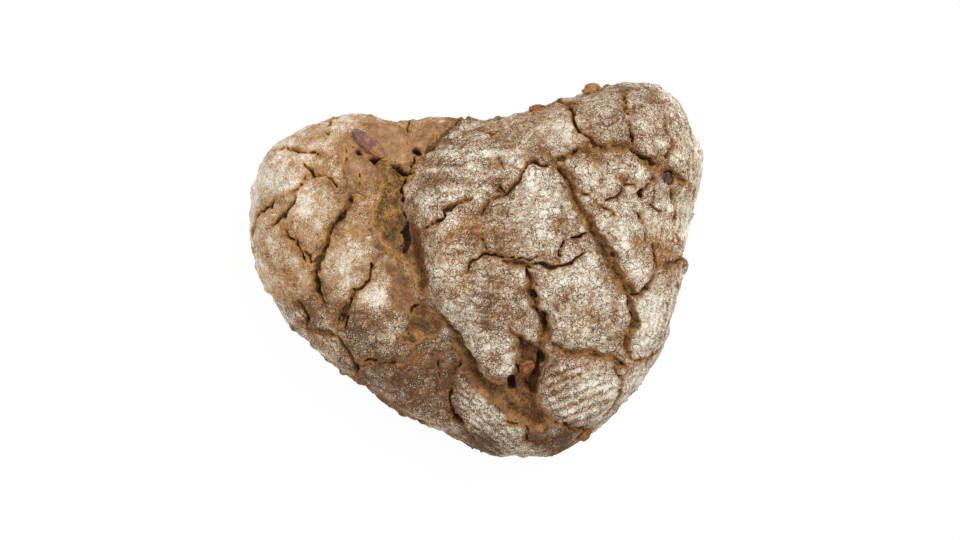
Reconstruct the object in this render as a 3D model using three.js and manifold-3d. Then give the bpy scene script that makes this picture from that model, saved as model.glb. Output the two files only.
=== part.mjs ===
// A heart-shaped rye loaf, baked free on a hearth from two lobes of dough, with nuts baked into its crust.
// The frame: X to the right of the heart, Y towards its two lobes, Z up, in millimetres.
// The origin is in the middle of the flat underside.
import * as THREE from "three";
import { mergeVertices } from "three/addons/utils/BufferGeometryUtils.js";
import Module from "manifold-3d";

// ---- Driving dimensions ----
const CROWN_HEIGHT = 80; // the top of the main lobe above the underside
const WAIST_HEIGHT = 27; // where the side stands out furthest
const BASE_SHARE = 0.9; // the underside's reach, as a share of the outline's
const BASE_SINK = 1.5; // how far the rounded bottom is trimmed to make the flat underside
const DOME_POWER = 0.86; // under 1 makes the shoulders fuller than an ellipse's
const WAIST_TURN = 1.92; // radians from the crown to the waist, on the sphere that the loaf is shaped from
const BASE_TURN = 2.36; // radians from the crown to the rim of the underside
const LOAF_DETAIL = 17; // splits of each edge of the icosahedron
const NUT_DETAIL = 2; // the same for a nut
const POCKET_GAP = 0.35; // between a nut and the crust that holds it

// The widest line of the loaf seen from above, anticlockwise from the right.
const OUTLINE = [
  [113, 20], [116, 34], [119.5, 45], [121.5, 60], [116, 74], [113, 85], [106, 95.5], [95, 100.5],
  [79, 100.5], [64, 98], [50, 92], [36, 87], [20, 83], [0, 80], [-14, 81.5], [-26, 82],
  [-42, 78.5], [-56, 82], [-68, 84], [-84, 79.5], [-102, 71], [-114, 60.5], [-119.5, 48], [-122, 30],
  [-121.5, 12], [-116, -4], [-106.5, -18], [-97.5, -32], [-87, -41], [-76, -50.5], [-60, -62.5],
  [-42, -75], [-22, -85], [-2, -94.5], [14, -99.5], [30, -100.5], [45, -98.5], [58, -90], [72, -78],
  [84, -66], [95, -50], [102.5, -37.5], [106.5, -20], [111, -5],
];

// Broad swellings and hollows of the top: where, how far each reaches along and across, the heading of
// its long way in degrees, and by how much it lifts the crust.
const SWELLINGS = [
  { at: [-80, 22], reach: [38, 46], turn: 0, lift: -6 },
  { at: [-60, -26], reach: [42, 26], turn: -40, lift: -5 },
  { at: [-40, 68], reach: [32, 18], turn: 0, lift: -15 },
  { at: [80, 78], reach: [30, 20], turn: -20, lift: 6 },
  { at: [26, -76], reach: [46, 22], turn: 8, lift: 5 },
];

// The seam where the main lobe laps over the smaller one. The crust sinks on both sides of it, and
// further on the smaller lobe's side.
const SEAM = [
  [-6, 84], [-24, 66], [-38, 48], [-38, 26], [-31, 4], [-27, -18], [-16, -34], [-12, -60], [-6, -84],
];
const SEAM_DROP = 12;
const SEAM_REACH_SMALL_LOBE = 30;
const SEAM_REACH_MAIN_LOBE = 13;

// Nuts held in the crust: half sizes along, across and up, the heading in degrees, how far the middle
// is sunk below the crust (above it where negative), and how much narrower the far end is.
const NUTS = [
  {
    name: "whole_almond", at: [-57.5, 67.5], half: [11, 4.9, 4.1],
    heading: -43, sunk: -0.4, taper: 0.3, colour: 0x8f5f4a,
  },
  {
    name: "nut_on_upper_rim", at: [33, 85.5], half: [5, 3.8, 3.4],
    heading: 12, sunk: -0.8, taper: 0.15, colour: 0xa8703c,
  },
  {
    name: "nut_on_right_crown", at: [62.5, 95.5], half: [6.4, 4.6, 4.2],
    heading: 14, sunk: -0.8, taper: 0.25, colour: 0xb08356,
  },
  {
    name: "nut_in_right_crack", at: [102, 48.5], half: [3.8, 3.2, 3],
    heading: 60, sunk: 1.6, taper: 0.1, colour: 0x5c4138,
  },
  {
    name: "nut_in_lower_tear", at: [27, -52], half: [4.2, 3.6, 3.2],
    heading: 35, sunk: 2.2, taper: 0.1, colour: 0x9c5f2e,
  },
  {
    name: "nut_on_lower_rim", at: [57.5, -88], half: [5.4, 3.6, 3.4],
    heading: 35, sunk: -0.6, taper: 0.2, colour: 0xa86a34,
  },
];

const wasm = await Module();
wasm.setup();

// ---- The outline as a distance from the middle, for every direction ----
function outlineReach() {
  const steps = 1440;
  const curve = new THREE.CatmullRomCurve3(
    OUTLINE.map(([x, y]) => new THREE.Vector3(x, y, 0)),
    true,
    "centripetal",
  );
  const polar = curve
    .getPoints(steps)
    .slice(0, steps)
    .map((p) => [Math.atan2(p.y, p.x), Math.hypot(p.x, p.y)])
    .sort((a, b) => a[0] - b[0]);
  return (turn) => {
    const after = polar.findIndex(([t]) => t > turn);
    const [t1, r1] = after < 0 ? [polar[0][0] + 2 * Math.PI, polar[0][1]] : polar[after];
    const before = after < 0 ? polar.length - 1 : after - 1;
    const [t0, r0] = before < 0 ? [polar.at(-1)[0] - 2 * Math.PI, polar.at(-1)[1]] : polar[before];
    return r0 + ((r1 - r0) * (turn - t0)) / (t1 - t0 || 1);
  };
}
const reachAt = outlineReach();

// ---- The height of the top ----
function swell(x, y, { at, reach, turn, lift }) {
  const angle = THREE.MathUtils.degToRad(turn);
  const along = (x - at[0]) * Math.cos(angle) + (y - at[1]) * Math.sin(angle);
  const across = (y - at[1]) * Math.cos(angle) - (x - at[0]) * Math.sin(angle);
  return lift * Math.exp(-0.5 * ((along / reach[0]) ** 2 + (across / reach[1]) ** 2));
}

// The distance to the seam in plan, positive on the smaller lobe's side.
function besideSeam(x, y) {
  let nearest = Infinity;
  let side = 1;
  for (let i = 0; i + 1 < SEAM.length; i++) {
    const [ax, ay] = SEAM[i];
    const [dx, dy] = [SEAM[i + 1][0] - ax, SEAM[i + 1][1] - ay];
    const t = THREE.MathUtils.clamp(((x - ax) * dx + (y - ay) * dy) / (dx * dx + dy * dy), 0, 1);
    const gap = Math.hypot(x - ax - t * dx, y - ay - t * dy);
    if (gap < nearest) {
      nearest = gap;
      side = Math.sign(dx * (y - ay) - dy * (x - ax)) || 1;
    }
  }
  return -nearest * side;
}

function crownAt(x, y) {
  const gap = besideSeam(x, y);
  const reach = gap > 0 ? SEAM_REACH_SMALL_LOBE : SEAM_REACH_MAIN_LOBE;
  const hollow = 1 - THREE.MathUtils.smoothstep(Math.abs(gap), 0, reach);
  return SWELLINGS.reduce((z, s) => z + swell(x, y, s), CROWN_HEIGHT) - SEAM_DROP * hollow;
}

// The point of the skin in a direction, given as a turn about Z and a tilt away from the crown.
function skinPoint(turn, tilt) {
  const reach = reachAt(turn);
  if (tilt < WAIST_TURN) {
    const a = (tilt / WAIST_TURN) * (Math.PI / 2);
    const out = reach * Math.sin(a) ** DOME_POWER;
    const [x, y] = [out * Math.cos(turn), out * Math.sin(turn)];
    const z = WAIST_HEIGHT + (crownAt(x, y) - WAIST_HEIGHT) * Math.cos(a) ** DOME_POWER;
    return [x, y, z];
  }
  const low = -BASE_SINK;
  if (tilt < BASE_TURN) {
    const a = ((tilt - WAIST_TURN) / (BASE_TURN - WAIST_TURN)) * (Math.PI / 2);
    const out = reach * (BASE_SHARE + (1 - BASE_SHARE) * Math.cos(a));
    const z = low + (WAIST_HEIGHT - low) * (1 - Math.sin(a));
    return [out * Math.cos(turn), out * Math.sin(turn), z];
  }
  const out = (reach * BASE_SHARE * (Math.PI - tilt)) / (Math.PI - BASE_TURN);
  return [out * Math.cos(turn), out * Math.sin(turn), low];
}

// The top of the skin straight above a point of the plan.
function topPoint(x, y) {
  const turn = Math.atan2(y, x);
  const share = Math.min(Math.hypot(x, y) / reachAt(turn), 0.999);
  const a = Math.asin(share ** (1 / DOME_POWER));
  return new THREE.Vector3(...skinPoint(turn, (a / (Math.PI / 2)) * WAIST_TURN));
}

function topNormal(x, y) {
  const step = 1.5;
  const alongX = topPoint(x + step, y).sub(topPoint(x - step, y));
  const alongY = topPoint(x, y + step).sub(topPoint(x, y - step));
  return alongX.cross(alongY).normalize();
}

// ---- Solids ----
function weld(geometry) {
  const bare = geometry.clone();
  bare.deleteAttribute("normal");
  bare.deleteAttribute("uv");
  return mergeVertices(bare, 1e-4);
}

function toSolid(geometry, matrix = new THREE.Matrix4()) {
  const welded = weld(geometry).applyMatrix4(matrix);
  return new wasm.Manifold(
    new wasm.Mesh({
      numProp: 3,
      vertProperties: welded.attributes.position.array,
      triVerts: new Uint32Array(welded.index.array),
    }),
  );
}

function toGeometry(solid) {
  const mesh = solid.getMesh();
  const places = new Float32Array(mesh.numVert * 3);
  for (let i = 0; i < mesh.numVert; i++) {
    places.set(mesh.vertProperties.subarray(i * mesh.numProp, i * mesh.numProp + 3), i * 3);
  }
  const geometry = new THREE.BufferGeometry();
  geometry.setAttribute("position", new THREE.BufferAttribute(places, 3));
  geometry.setIndex(new THREE.BufferAttribute(mesh.triVerts, 1));
  geometry.computeVertexNormals();
  return geometry;
}

function bodyGeometry() {
  const geometry = weld(new THREE.IcosahedronGeometry(1, LOAF_DETAIL));
  const place = geometry.attributes.position;
  for (let i = 0; i < place.count; i++) {
    const tilt = Math.acos(THREE.MathUtils.clamp(place.getZ(i), -1, 1));
    place.setXYZ(i, ...skinPoint(Math.atan2(place.getY(i), place.getX(i)), tilt));
  }
  return geometry;
}

// A nut's own shape, longest along X, narrower towards +X; grow adds to each half size.
function nutGeometry({ half, taper }, grow = 0) {
  const geometry = weld(new THREE.IcosahedronGeometry(1, NUT_DETAIL));
  const place = geometry.attributes.position;
  for (let i = 0; i < place.count; i++) {
    const [x, y, z] = [place.getX(i), place.getY(i), place.getZ(i)];
    const slim = 1 - (taper * (x + 1)) / 2;
    place.setXYZ(i, x * (half[0] + grow), y * (half[1] * slim + grow), z * (half[2] * slim + grow));
  }
  return geometry;
}

function nutMesh(nut) {
  const material = new THREE.MeshStandardMaterial({ color: nut.colour, roughness: 0.55, metalness: 0 });
  const mesh = new THREE.Mesh(nutGeometry(nut), material);
  mesh.name = nut.name;
  const up = topNormal(...nut.at);
  mesh.position.copy(topPoint(...nut.at)).addScaledVector(up, -nut.sunk);
  const lean = new THREE.Quaternion().setFromUnitVectors(new THREE.Vector3(0, 0, 1), up);
  const heading = new THREE.Quaternion().setFromAxisAngle(
    new THREE.Vector3(0, 0, 1),
    THREE.MathUtils.degToRad(nut.heading),
  );
  mesh.quaternion.copy(lean).multiply(heading);
  mesh.updateMatrixWorld(true);
  return mesh;
}

function loafMesh(nuts) {
  const slab = new THREE.BoxGeometry(400, 400, 40).translate(0, 0, -20);
  let solid = toSolid(bodyGeometry()).subtract(toSolid(slab));
  NUTS.forEach((nut, i) => {
    solid = solid.subtract(toSolid(nutGeometry(nut, POCKET_GAP), nuts[i].matrixWorld));
  });
  const material = new THREE.MeshStandardMaterial({ color: 0x9a7456, roughness: 0.92, metalness: 0 });
  const mesh = new THREE.Mesh(toGeometry(solid), material);
  mesh.name = "loaf";
  return mesh;
}

const nuts = NUTS.map(nutMesh);
const bread = new THREE.Group();
bread.add(loafMesh(nuts), ...nuts);

export default bread;
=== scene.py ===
"""A heart-shaped rye loaf with a floured, deeply cracked crust and nuts baked into it."""

import math
from collections import namedtuple

import bmesh
import bpy
import numpy as np
from bpy.props import FloatProperty, FloatVectorProperty, IntProperty, PointerProperty
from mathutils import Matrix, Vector
from mathutils.bvhtree import BVHTree


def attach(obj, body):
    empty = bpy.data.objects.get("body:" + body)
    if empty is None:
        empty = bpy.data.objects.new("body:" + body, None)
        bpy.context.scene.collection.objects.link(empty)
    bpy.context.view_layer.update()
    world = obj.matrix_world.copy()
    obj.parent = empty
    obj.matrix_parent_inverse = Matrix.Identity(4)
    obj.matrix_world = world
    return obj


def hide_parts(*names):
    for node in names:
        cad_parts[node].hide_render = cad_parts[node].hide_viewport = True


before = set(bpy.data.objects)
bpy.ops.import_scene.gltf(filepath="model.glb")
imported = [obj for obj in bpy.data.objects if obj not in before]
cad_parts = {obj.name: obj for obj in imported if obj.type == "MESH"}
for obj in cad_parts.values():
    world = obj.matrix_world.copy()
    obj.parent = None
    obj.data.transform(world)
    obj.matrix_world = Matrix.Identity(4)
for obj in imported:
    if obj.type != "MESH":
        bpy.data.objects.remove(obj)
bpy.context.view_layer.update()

bl_info = {
    "name": "Heart-shaped Rye Loaf",
    "version": (1, 0, 0),
    "blender": (4, 5, 0),
    "location": "View3D > Sidebar > Rye Loaf",
    "description": "Bakes a cracked, floured rye loaf with nuts in its crust",
    "category": "Add Mesh",
}

MM = 0.001
LOAF = "loaf"
ALMOND = "whole_almond"
NUT_BITS = (
    "nut_on_upper_rim",
    "nut_on_right_crown",
    "nut_in_right_crack",
    "nut_in_lower_tear",
    "nut_on_lower_rim",
)

# ---- How the crust is torn. Places are in mm from the middle of the loaf, X right, Y up the heart. ----

Tear = namedtuple("Tear", "name width depth path")

TOP_TEARS = (
    # The smaller lobe
    Tear("rim_of_small_lobe", 2.7, 4.2, (
        (-121, 10), (-121.5, 18), (-119.4, 25), (-115.7, 30.4), (-111.4, 33.3), (-106.3, 37.6))),
    Tear("rim_of_small_lobe_end", 1.7, 2.4, (
        (-107, 37), (-102.7, 39.8), (-99, 41.5), (-95.5, 43.4), (-92, 47), (-89.7, 50.6))),
    Tear("shoulder_of_small_lobe", 2.8, 3, (
        (-98, 38), (-99, 35), (-101.3, 31.8), (-103.4, 28.2), (-108.5, 24.6), (-111.4, 21.7))),
    Tear("upper_shoulder", 1.5, 2.2, (
        (-112, 62), (-106, 63.7), (-101.3, 65), (-94, 62.9), (-88.3, 63.7), (-82.5, 62))),
    Tear("upper_shoulder_gap", 2.8, 2.6, ((-102, 65), (-98, 63.8), (-95, 62.8))),
    Tear("upper_middle", 2.2, 2.8, (
        (-93.3, 58), (-90.4, 53.5), (-86.8, 50.6), (-82.5, 49.9), (-78.9, 49), (-75.2, 43.4))),
    Tear("small_lobe_main", 3.6, 3.8, (
        (-65.5, 39.5), (-68, 36.2), (-70.2, 31.8), (-73.8, 27.5), (-77.4, 23.2), (-79, 18), (-81, 11.6),
        (-83.2, 7.3), (-86.1, 3), (-86.8, -3), (-84.2, -10), (-80.3, -16.2))),
    Tear("small_lobe_dark_a", 2.2, 5, ((-69, 34.6), (-73, 29.4), (-77, 24), (-79.2, 18))),
    Tear("small_lobe_dark_b", 2.2, 4.8, ((-80, 15), (-81.6, 10.4), (-83.6, 7))),
    Tear("small_lobe_dark_c", 2.6, 5, ((-86.6, 1), (-86.4, -5), (-83.4, -11.4), (-80.6, -16.6))),
    Tear("small_lobe_cross", 2.3, 2.8, (
        (-103, 21.5), (-100.5, 17.4), (-96.2, 14.5), (-95.4, 10.9), (-92.6, 6.5), (-89, 3.2))),
    Tear("lobe_fork", 3.2, 1.8, ((-93, 10), (-90, 7.5), (-88.4, 4))),
    Tear("small_lobe_lower", 2.4, 3.4, (
        (-56.4, 7), (-55.4, 2.5), (-55.9, -2.4), (-58, -6.2), (-62.2, -9.7), (-65.8, -13.5),
        (-68.7, -18.4), (-72.5, -22), (-74.5, -29))),
    Tear("small_lobe_lower_end", 3.4, 3.8, ((-67.6, -17), (-71, -22), (-73, -28))),
    Tear("small_lobe_lower_spur", 1.6, 3.2, ((-70.6, -20), (-69.6, -26), (-70.4, -32))),
    Tear("lower_flank_a", 2.7, 4.6, ((-96.4, -16), (-92.8, -21.3), (-90.2, -26), (-91, -31.4))),
    Tear("lower_flank_b", 3.2, 2.6, ((-91, -31), (-83.9, -32.1), (-78.1, -34.3), (-71.6, -36.5))),
    Tear("lower_flank_dark", 2.8, 4.8, (
        (-73, -36), (-70.4, -41), (-67, -47), (-63.9, -51.4), (-62.4, -57))),
    Tear("lower_flank_c", 2, 2.6, (
        (-63.7, -50.6), (-56, -49.6), (-49.2, -50.9), (-43.5, -50.2), (-39.8, -51.7), (-36.8, -54.8))),
    Tear("flank_pit", 2.2, 3.2, ((-49.8, -51.2), (-48.6, -50.9))),
    Tear("beside_almond_a", 1, 1.6, ((-70, 67), (-69.5, 60), (-71, 52), (-70, 45))),
    Tear("beside_almond_b", 1.3, 2.8, ((-61, 52), (-61, 44), (-59.5, 38))),
    Tear("above_almond", 1.4, 2.4, ((-74, 73.4), (-71, 73.8), (-67.6, 73.4))),
    Tear("under_almond", 1.6, 3, ((-66.4, 67), (-63, 64), (-59.4, 61.4), (-55, 58.4), (-50.6, 59.6))),
    Tear("under_almond_left", 3.6, 6.4, ((-65.4, 66), (-62.4, 63.6), (-60.4, 61.8))),
    Tear("under_almond_right", 3.2, 6.4, ((-57, 59.6), (-54, 58.6), (-51.6, 58.8))),
    Tear("almond_end", 2, 4.6, ((-50.6, 65), (-50.2, 62), (-51, 59.6))),
    Tear("lobe_pit_a", 2.8, 3, ((-63.8, 40), (-63, 38.6))),
    Tear("lobe_pit_b", 2, 2.8, ((-80.6, 73.6), (-79.6, 72.6))),
    # The saddle and the foot of the fold between the lobes
    Tear("saddle_nick", 1.2, 2.2, ((-37, 80), (-38, 74))),
    Tear("fold_streak", 1.8, 3.4, (
        (-38.6, 51), (-39, 46), (-38.6, 41), (-39.2, 36), (-38.6, 31), (-37.6, 26))),
    Tear("fold_dark", 3.5, 3.4, ((-36.6, 26), (-38.8, 20.6), (-37, 15), (-39.4, 8.6))),
    Tear("fold_pit_a", 3.4, 6.4, ((-45.4, 56.4), (-42.4, 54.8), (-39.8, 53), (-37, 51.8), (-33.6, 52.6))),
    Tear("fold_pit_b", 5, 6.6, ((-33.6, 61), (-31.6, 62), (-30.4, 60.4))),
    Tear("fold_pit_link", 3, 4, ((-32, 61), (-34, 57), (-36, 53))),
    Tear("fold_edge_line", 1.4, 3, ((-34, 38.6), (-33, 34.4), (-30.6, 29.8))),
    Tear("rib_line", 1.1, 2.4, ((-5.6, 73.4), (0, 74.6), (7, 73.6), (11.4, 74.4))),
    Tear("rib_spot", 2, 4.3, ((8.4, 73.4), (10.4, 73.8))),
    Tear("fold_pit_d", 2, 2, ((-45.5, 48), (-44, 47))),
    Tear("fold_split_left", 2.3, 3.6, ((-28.4, -16), (-31, -18), (-34, -21), (-36.5, -25))),
    Tear("fold_split_right", 2.4, 3.8, ((-28.4, -16), (-25, -18.6), (-22, -22), (-19.5, -25.5))),
    Tear("fold_split_top", 1.4, 2, ((-31, -10), (-30.5, -13), (-27.8, -15))),
    Tear("saddle_seam", 3.3, 1.5, (
        (-28.6, 57), (-26.6, 62), (-22, 68.5), (-17, 73.5), (-10.5, 79), (-5, 83))),
    Tear("saddle_dot", 1.8, 2.4, ((-37.2, 67.6), (-36.6, 67.2))),
    Tear("fold_tail", 3.4, 3.6, ((-18, -24), (-15, -30), (-12, -33), (-5, -40))),
    # The larger lobe
    Tear("main_diagonal_upper", 4.8, 3.4, (
        (41.5, 56), (46.6, 50.6), (49.6, 46), (50.6, 41), (53.4, 34.7))),
    Tear("main_diagonal_middle", 5.2, 3.4, (
        (50.6, 41.5), (53.4, 34.7), (56.6, 28.5), (60, 23.4), (64.4, 17.4))),
    Tear("main_diagonal", 6.4, 3.6, (
        (60.5, 21), (65.6, 15.4), (70, 9), (73, 2.4), (76.4, -3.6), (79.8, -9.6), (84, -13))),
    Tear("main_diagonal_lower", 4.2, 3.2, (
        (81, -11), (80.2, -17), (83.6, -23.6), (86.2, -28.6), (82.4, -32.2), (79.6, -36.4), (80.6, -43),
        (82.4, -48.4))),
    Tear("main_diagonal_dark_a", 2.4, 4.8, ((80.4, -14.6), (81.6, -19.6), (84.6, -25.4))),
    Tear("main_diagonal_dark_b", 2, 4.6, ((79, -30.6), (79.4, -35.6), (80.8, -43), (82.2, -48.6))),
    Tear("main_diagonal_dark_c", 1.5, 4.4, ((70.6, 11.4), (73.6, 7.4), (77, 0.4))),
    Tear("crown_arc", 3.8, 3, (
        (41.5, 56.6), (48, 60.2), (54.4, 63.6), (61.8, 65), (67, 64.2), (73, 64.6), (79, 66),
        (82.6, 64.8), (86.8, 60.4), (92.2, 56), (96.4, 52.8), (103, 52.6), (110, 47.2), (114.6, 45.4))),
    Tear("crown_arc_dark_a", 2.2, 4.8, ((47, 61), (52, 64), (57, 66), (62, 66.6), (67.6, 65.8))),
    Tear("crown_arc_dark_b", 2.2, 4.8, ((83, 65.4), (88, 61.4), (93, 57.6), (97, 54.6), (100.6, 51.6))),
    Tear("crown_left", 2.8, 2.8, ((43, 89), (50, 87), (51, 82), (52, 77), (56, 72), (61, 68), (64, 65))),
    Tear("crown_edge", 4.2, 3, ((41.6, 88.4), (47, 88.8), (53, 88))),
    Tear("crown_middle_a", 2, 3, ((79.6, 93), (78.6, 88.6), (80, 84), (82.8, 80.6))),
    Tear("crown_middle_b", 2.6, 4.4, ((82, 75.4), (81.6, 70.4), (81.8, 65.6))),
    Tear("crown_middle_pit", 2.2, 3, ((81.4, 79), (81, 78))),
    Tear("crown_right", 2.2, 3, (
        (102, 82), (100.4, 75.4), (103.9, 71.9), (104.4, 66.4), (103.2, 62), (101.4, 59), (103, 53))),
    Tear("crown_right_dark", 2.2, 4.4, ((100.4, 76.4), (103, 73.2), (104.4, 70.4))),
    Tear("crown_right_pit", 2.8, 4.4, ((101.6, 82.6), (103, 81))),
    Tear("crown_tip", 2.2, 3.2, ((89, 98.6), (95, 94.6), (98, 90.6), (104.6, 89.2))),
    Tear("crown_tip_pit", 1.6, 2.2, ((115.4, 63.6), (116, 60))),
    Tear("nut_hole", 6, 5, ((101, 48), (104, 49.5))),
    Tear("shoulder_run", 2.8, 3, (
        (41.4, 56.4), (37, 55.6), (31, 57.6), (27.4, 56.2), (25.2, 51.4), (21.6, 45), (16.6, 39.8),
        (10.8, 38.2), (5.8, 34.6), (1.2, 31))),
    Tear("shoulder_run_left", 3, 3, ((-3, 36.6), (-8, 36.2), (-12.4, 33), (-17.4, 32.4), (-18.4, 29.6))),
    Tear("shoulder_pocket", 3.6, 2.6, ((-16.4, 33.2), (-12.6, 34.4), (-8.4, 35.4))),
    Tear("shoulder_run_dark", 2.7, 4.2, ((-17.6, 29.6), (-20.4, 27.2), (-24, 24), (-28.6, 21))),
    Tear("shoulder_spur_a", 0.9, 1.6, ((33, 66), (36, 63), (39, 60), (41, 57))),
    Tear("shoulder_spur_b", 1.5, 3, ((11, 60), (12.4, 56), (14, 52.6))),
    Tear("shoulder_spur_c", 1.8, 4.3, ((8.8, 50.4), (11.4, 44.6), (14.6, 39.6))),
    Tear("shoulder_crumb", 3.8, 2.4, ((1, 31.6), (5.6, 35), (10, 37.8))),
    Tear("shoulder_flake", 3, 1.6, ((9.4, 44), (10.6, 41))),
    Tear("shoulder_spur_d", 1, 1.8, ((21, 54), (24, 51))),
    Tear("middle_run", 2.3, 3, ((-5, -1.6), (-4, 2.4), (-0.8, 5), (4.6, 7), (11, 7.8), (16.6, 7))),
    Tear("middle_crumb", 4.6, 2.2, ((14, 5), (19.6, 3.8), (25, 2.6), (31, 1.6))),
    Tear("middle_branch", 1.9, 3.4, ((15, 7.2), (21, 6), (27.4, 5.2), (32.8, 7.8))),
    Tear("middle_run_right", 2.5, 3.4, (
        (27.6, 2.8), (33, 2.8), (37.6, 1.4), (43.4, 2.2), (50.4, 4.4), (56, 7.6))),
    Tear("middle_down", 4.2, 3.6, ((26.8, 1), (29.8, -4.8), (28.6, -11), (30.8, -17), (34.4, -21.4))),
    Tear("middle_down_lower", 5.6, 4, (
        (33.6, -20), (36, -26), (37, -32), (35.4, -38), (33.8, -42), (34.4, -47.4), (31.2, -52.6),
        (29.8, -61.4), (31.6, -67))),
    Tear("middle_down_dark_a", 2.2, 5, ((31.6, -3.6), (31.4, -8), (30.4, -13), (31.8, -18))),
    Tear("middle_down_dark_b", 2.4, 5, ((35.6, -21), (37.8, -27), (37.6, -33))),
    Tear("middle_spur_a", 2.4, 4.3, ((41.4, 5), (44.4, 11.5), (47.6, 17.6))),
    Tear("middle_spur_b", 3, 4.3, ((50.6, 15.6), (54.4, 17), (57.6, 20))),
    Tear("middle_spur_c", 1.3, 2.4, ((1.2, 17.4), (3.6, 12.4), (4.8, 8.4))),
    Tear("right_loop", 2.2, 3.2, ((95, 12), (95, 7), (96, 2), (95, -4), (91, -9), (87, -13), (84, -13))),
    Tear("right_loop_dark", 2.2, 4.5, ((94.8, 12.6), (95.2, 8), (96, 4))),
    Tear("right_loop_dark_end", 2, 4.4, ((94.4, -5), (91, -9.4), (88, -12))),
    Tear("right_notch", 5.2, 2.6, ((98.4, 2.6), (102, 2.6), (106, 4), (110, 6.4))),
    Tear("right_thin", 1.7, 3, ((87, 30), (88, 25), (89.4, 20), (90, 16))),
    Tear("right_pit_a", 3, 5.8, ((86.8, 42.4), (87.4, 39.4))),
    Tear("right_pit_b", 1.1, 2, ((95, 41.4), (94.9, 35))),
    Tear("right_pit_e", 1.3, 2.2, ((91, 35), (94, 33), (97, 31))),
    Tear("right_pit_f", 1.1, 2, ((104.8, 35), (104.5, 28))),
    Tear("right_pit_g", 1, 1.8, ((106, 19.6), (106.8, 12.8))),
    Tear("nut_left", 2.8, 4.3, ((97.6, 52), (95.4, 49.4), (92.8, 46.6))),
    Tear("right_pit_link", 2.2, 3.4, ((87.6, 42.4), (90.4, 44.6), (93.4, 45.6))),
    Tear("right_pit_c", 3.2, 6, ((103.6, 46), (104.4, 41), (104.8, 36.4))),
    Tear("nut_right", 2, 5, ((106.6, 49), (110.6, 46.6), (114.6, 45))),
    Tear("right_pit_d", 3, 4.3, ((116.6, 41), (115.4, 36.6))),
    Tear("inner_a", 1, 1.8, ((51, 43), (56, 41), (60, 41))),
    Tear("inner_b", 2.4, 2.8, ((67.6, 36.4), (72.6, 37.4), (76, 40.4), (78.4, 43.4))),
    Tear("inner_b_end", 1.3, 2.2, ((77, 43), (80, 45.6), (84, 46))),
    Tear("inner_c", 1, 1.8, ((63, 35), (68, 33), (74, 29))),
    Tear("inner_d", 0.9, 1.6, ((75, 60), (80, 55))),
    Tear("inner_e", 0.9, 1.6, ((78, 48), (84, 45))),
    Tear("inner_f", 1, 1.8, ((43.6, 33), (43.4, 26), (43, 18.4))),
    Tear("lower_arc", 4, 2.6, (
        (39, -38.4), (42.8, -40.4), (45.6, -43.2), (51.4, -45.8), (58.9, -44.4), (65.8, -46),
        (71.4, -47), (76.4, -49), (80.4, -50.6))),
    Tear("lower_arc_tail", 2.3, 3.4, (
        (74.8, -52), (76.4, -57), (77.5, -61), (77.2, -65.5), (74.8, -70), (72.4, -74.4))),
    Tear("lower_arc_foot", 3.2, 4.8, ((75.4, -68.8), (73.2, -72.6), (70.4, -76.4))),
    Tear("lower_right", 2.2, 3.2, ((84, -48.6), (88, -48), (93.3, -46.4), (97.4, -43.2), (99.6, -39))),
    Tear("point_left", 2.6, 3.2, (
        (-13, -59), (-14.5, -68), (-12, -76), (-7.4, -80), (-1, -88), (4, -92.6))),
    Tear("point_pit", 5.4, 6.8, ((-9, -78.6), (-6.6, -79.6))),
    Tear("hollow_dark_left", 4.6, 6, ((-12, -32.6), (-9.6, -34.8), (-7, -38.6))),
    Tear("point_thin_a", 2, 2.8, ((-9.5, -45), (-8.8, -49.5), (-11.6, -54), (-13, -60))),
    Tear("point_thin_b", 1.4, 2.2, ((-19.6, -45), (-21, -52), (-19, -62))),
    Tear("under_rim_nut", 1.6, 3, ((28.6, 84), (32.6, 84.2), (37, 85))),
    Tear("under_crown_nut", 1.5, 2.8, ((56.6, 93), (61, 94), (65.4, 96.6))),
    Tear("under_tear_nut", 2, 3, ((21.6, -49), (23, -54.6), (29, -56.4), (32, -53))),
    Tear("point_right", 2, 3, ((28, -86), (27, -90), (33, -92), (40, -90))),
    Tear("point_edge", 3, 3.4, ((40, -80), (47, -83), (55, -86), (62, -86))),
    Tear("point_foot", 2.2, 3, ((17, -79), (27, -84), (27, -90))),
    Tear("hollow_dark_hole", 6, 6, ((19, -59), (19, -63))),
    Tear("hollow_foot", 4.4, 6.4, (
        (33.4, -43), (33.6, -47), (31.4, -51), (31, -57), (31.6, -63), (33, -68))),
)

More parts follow.
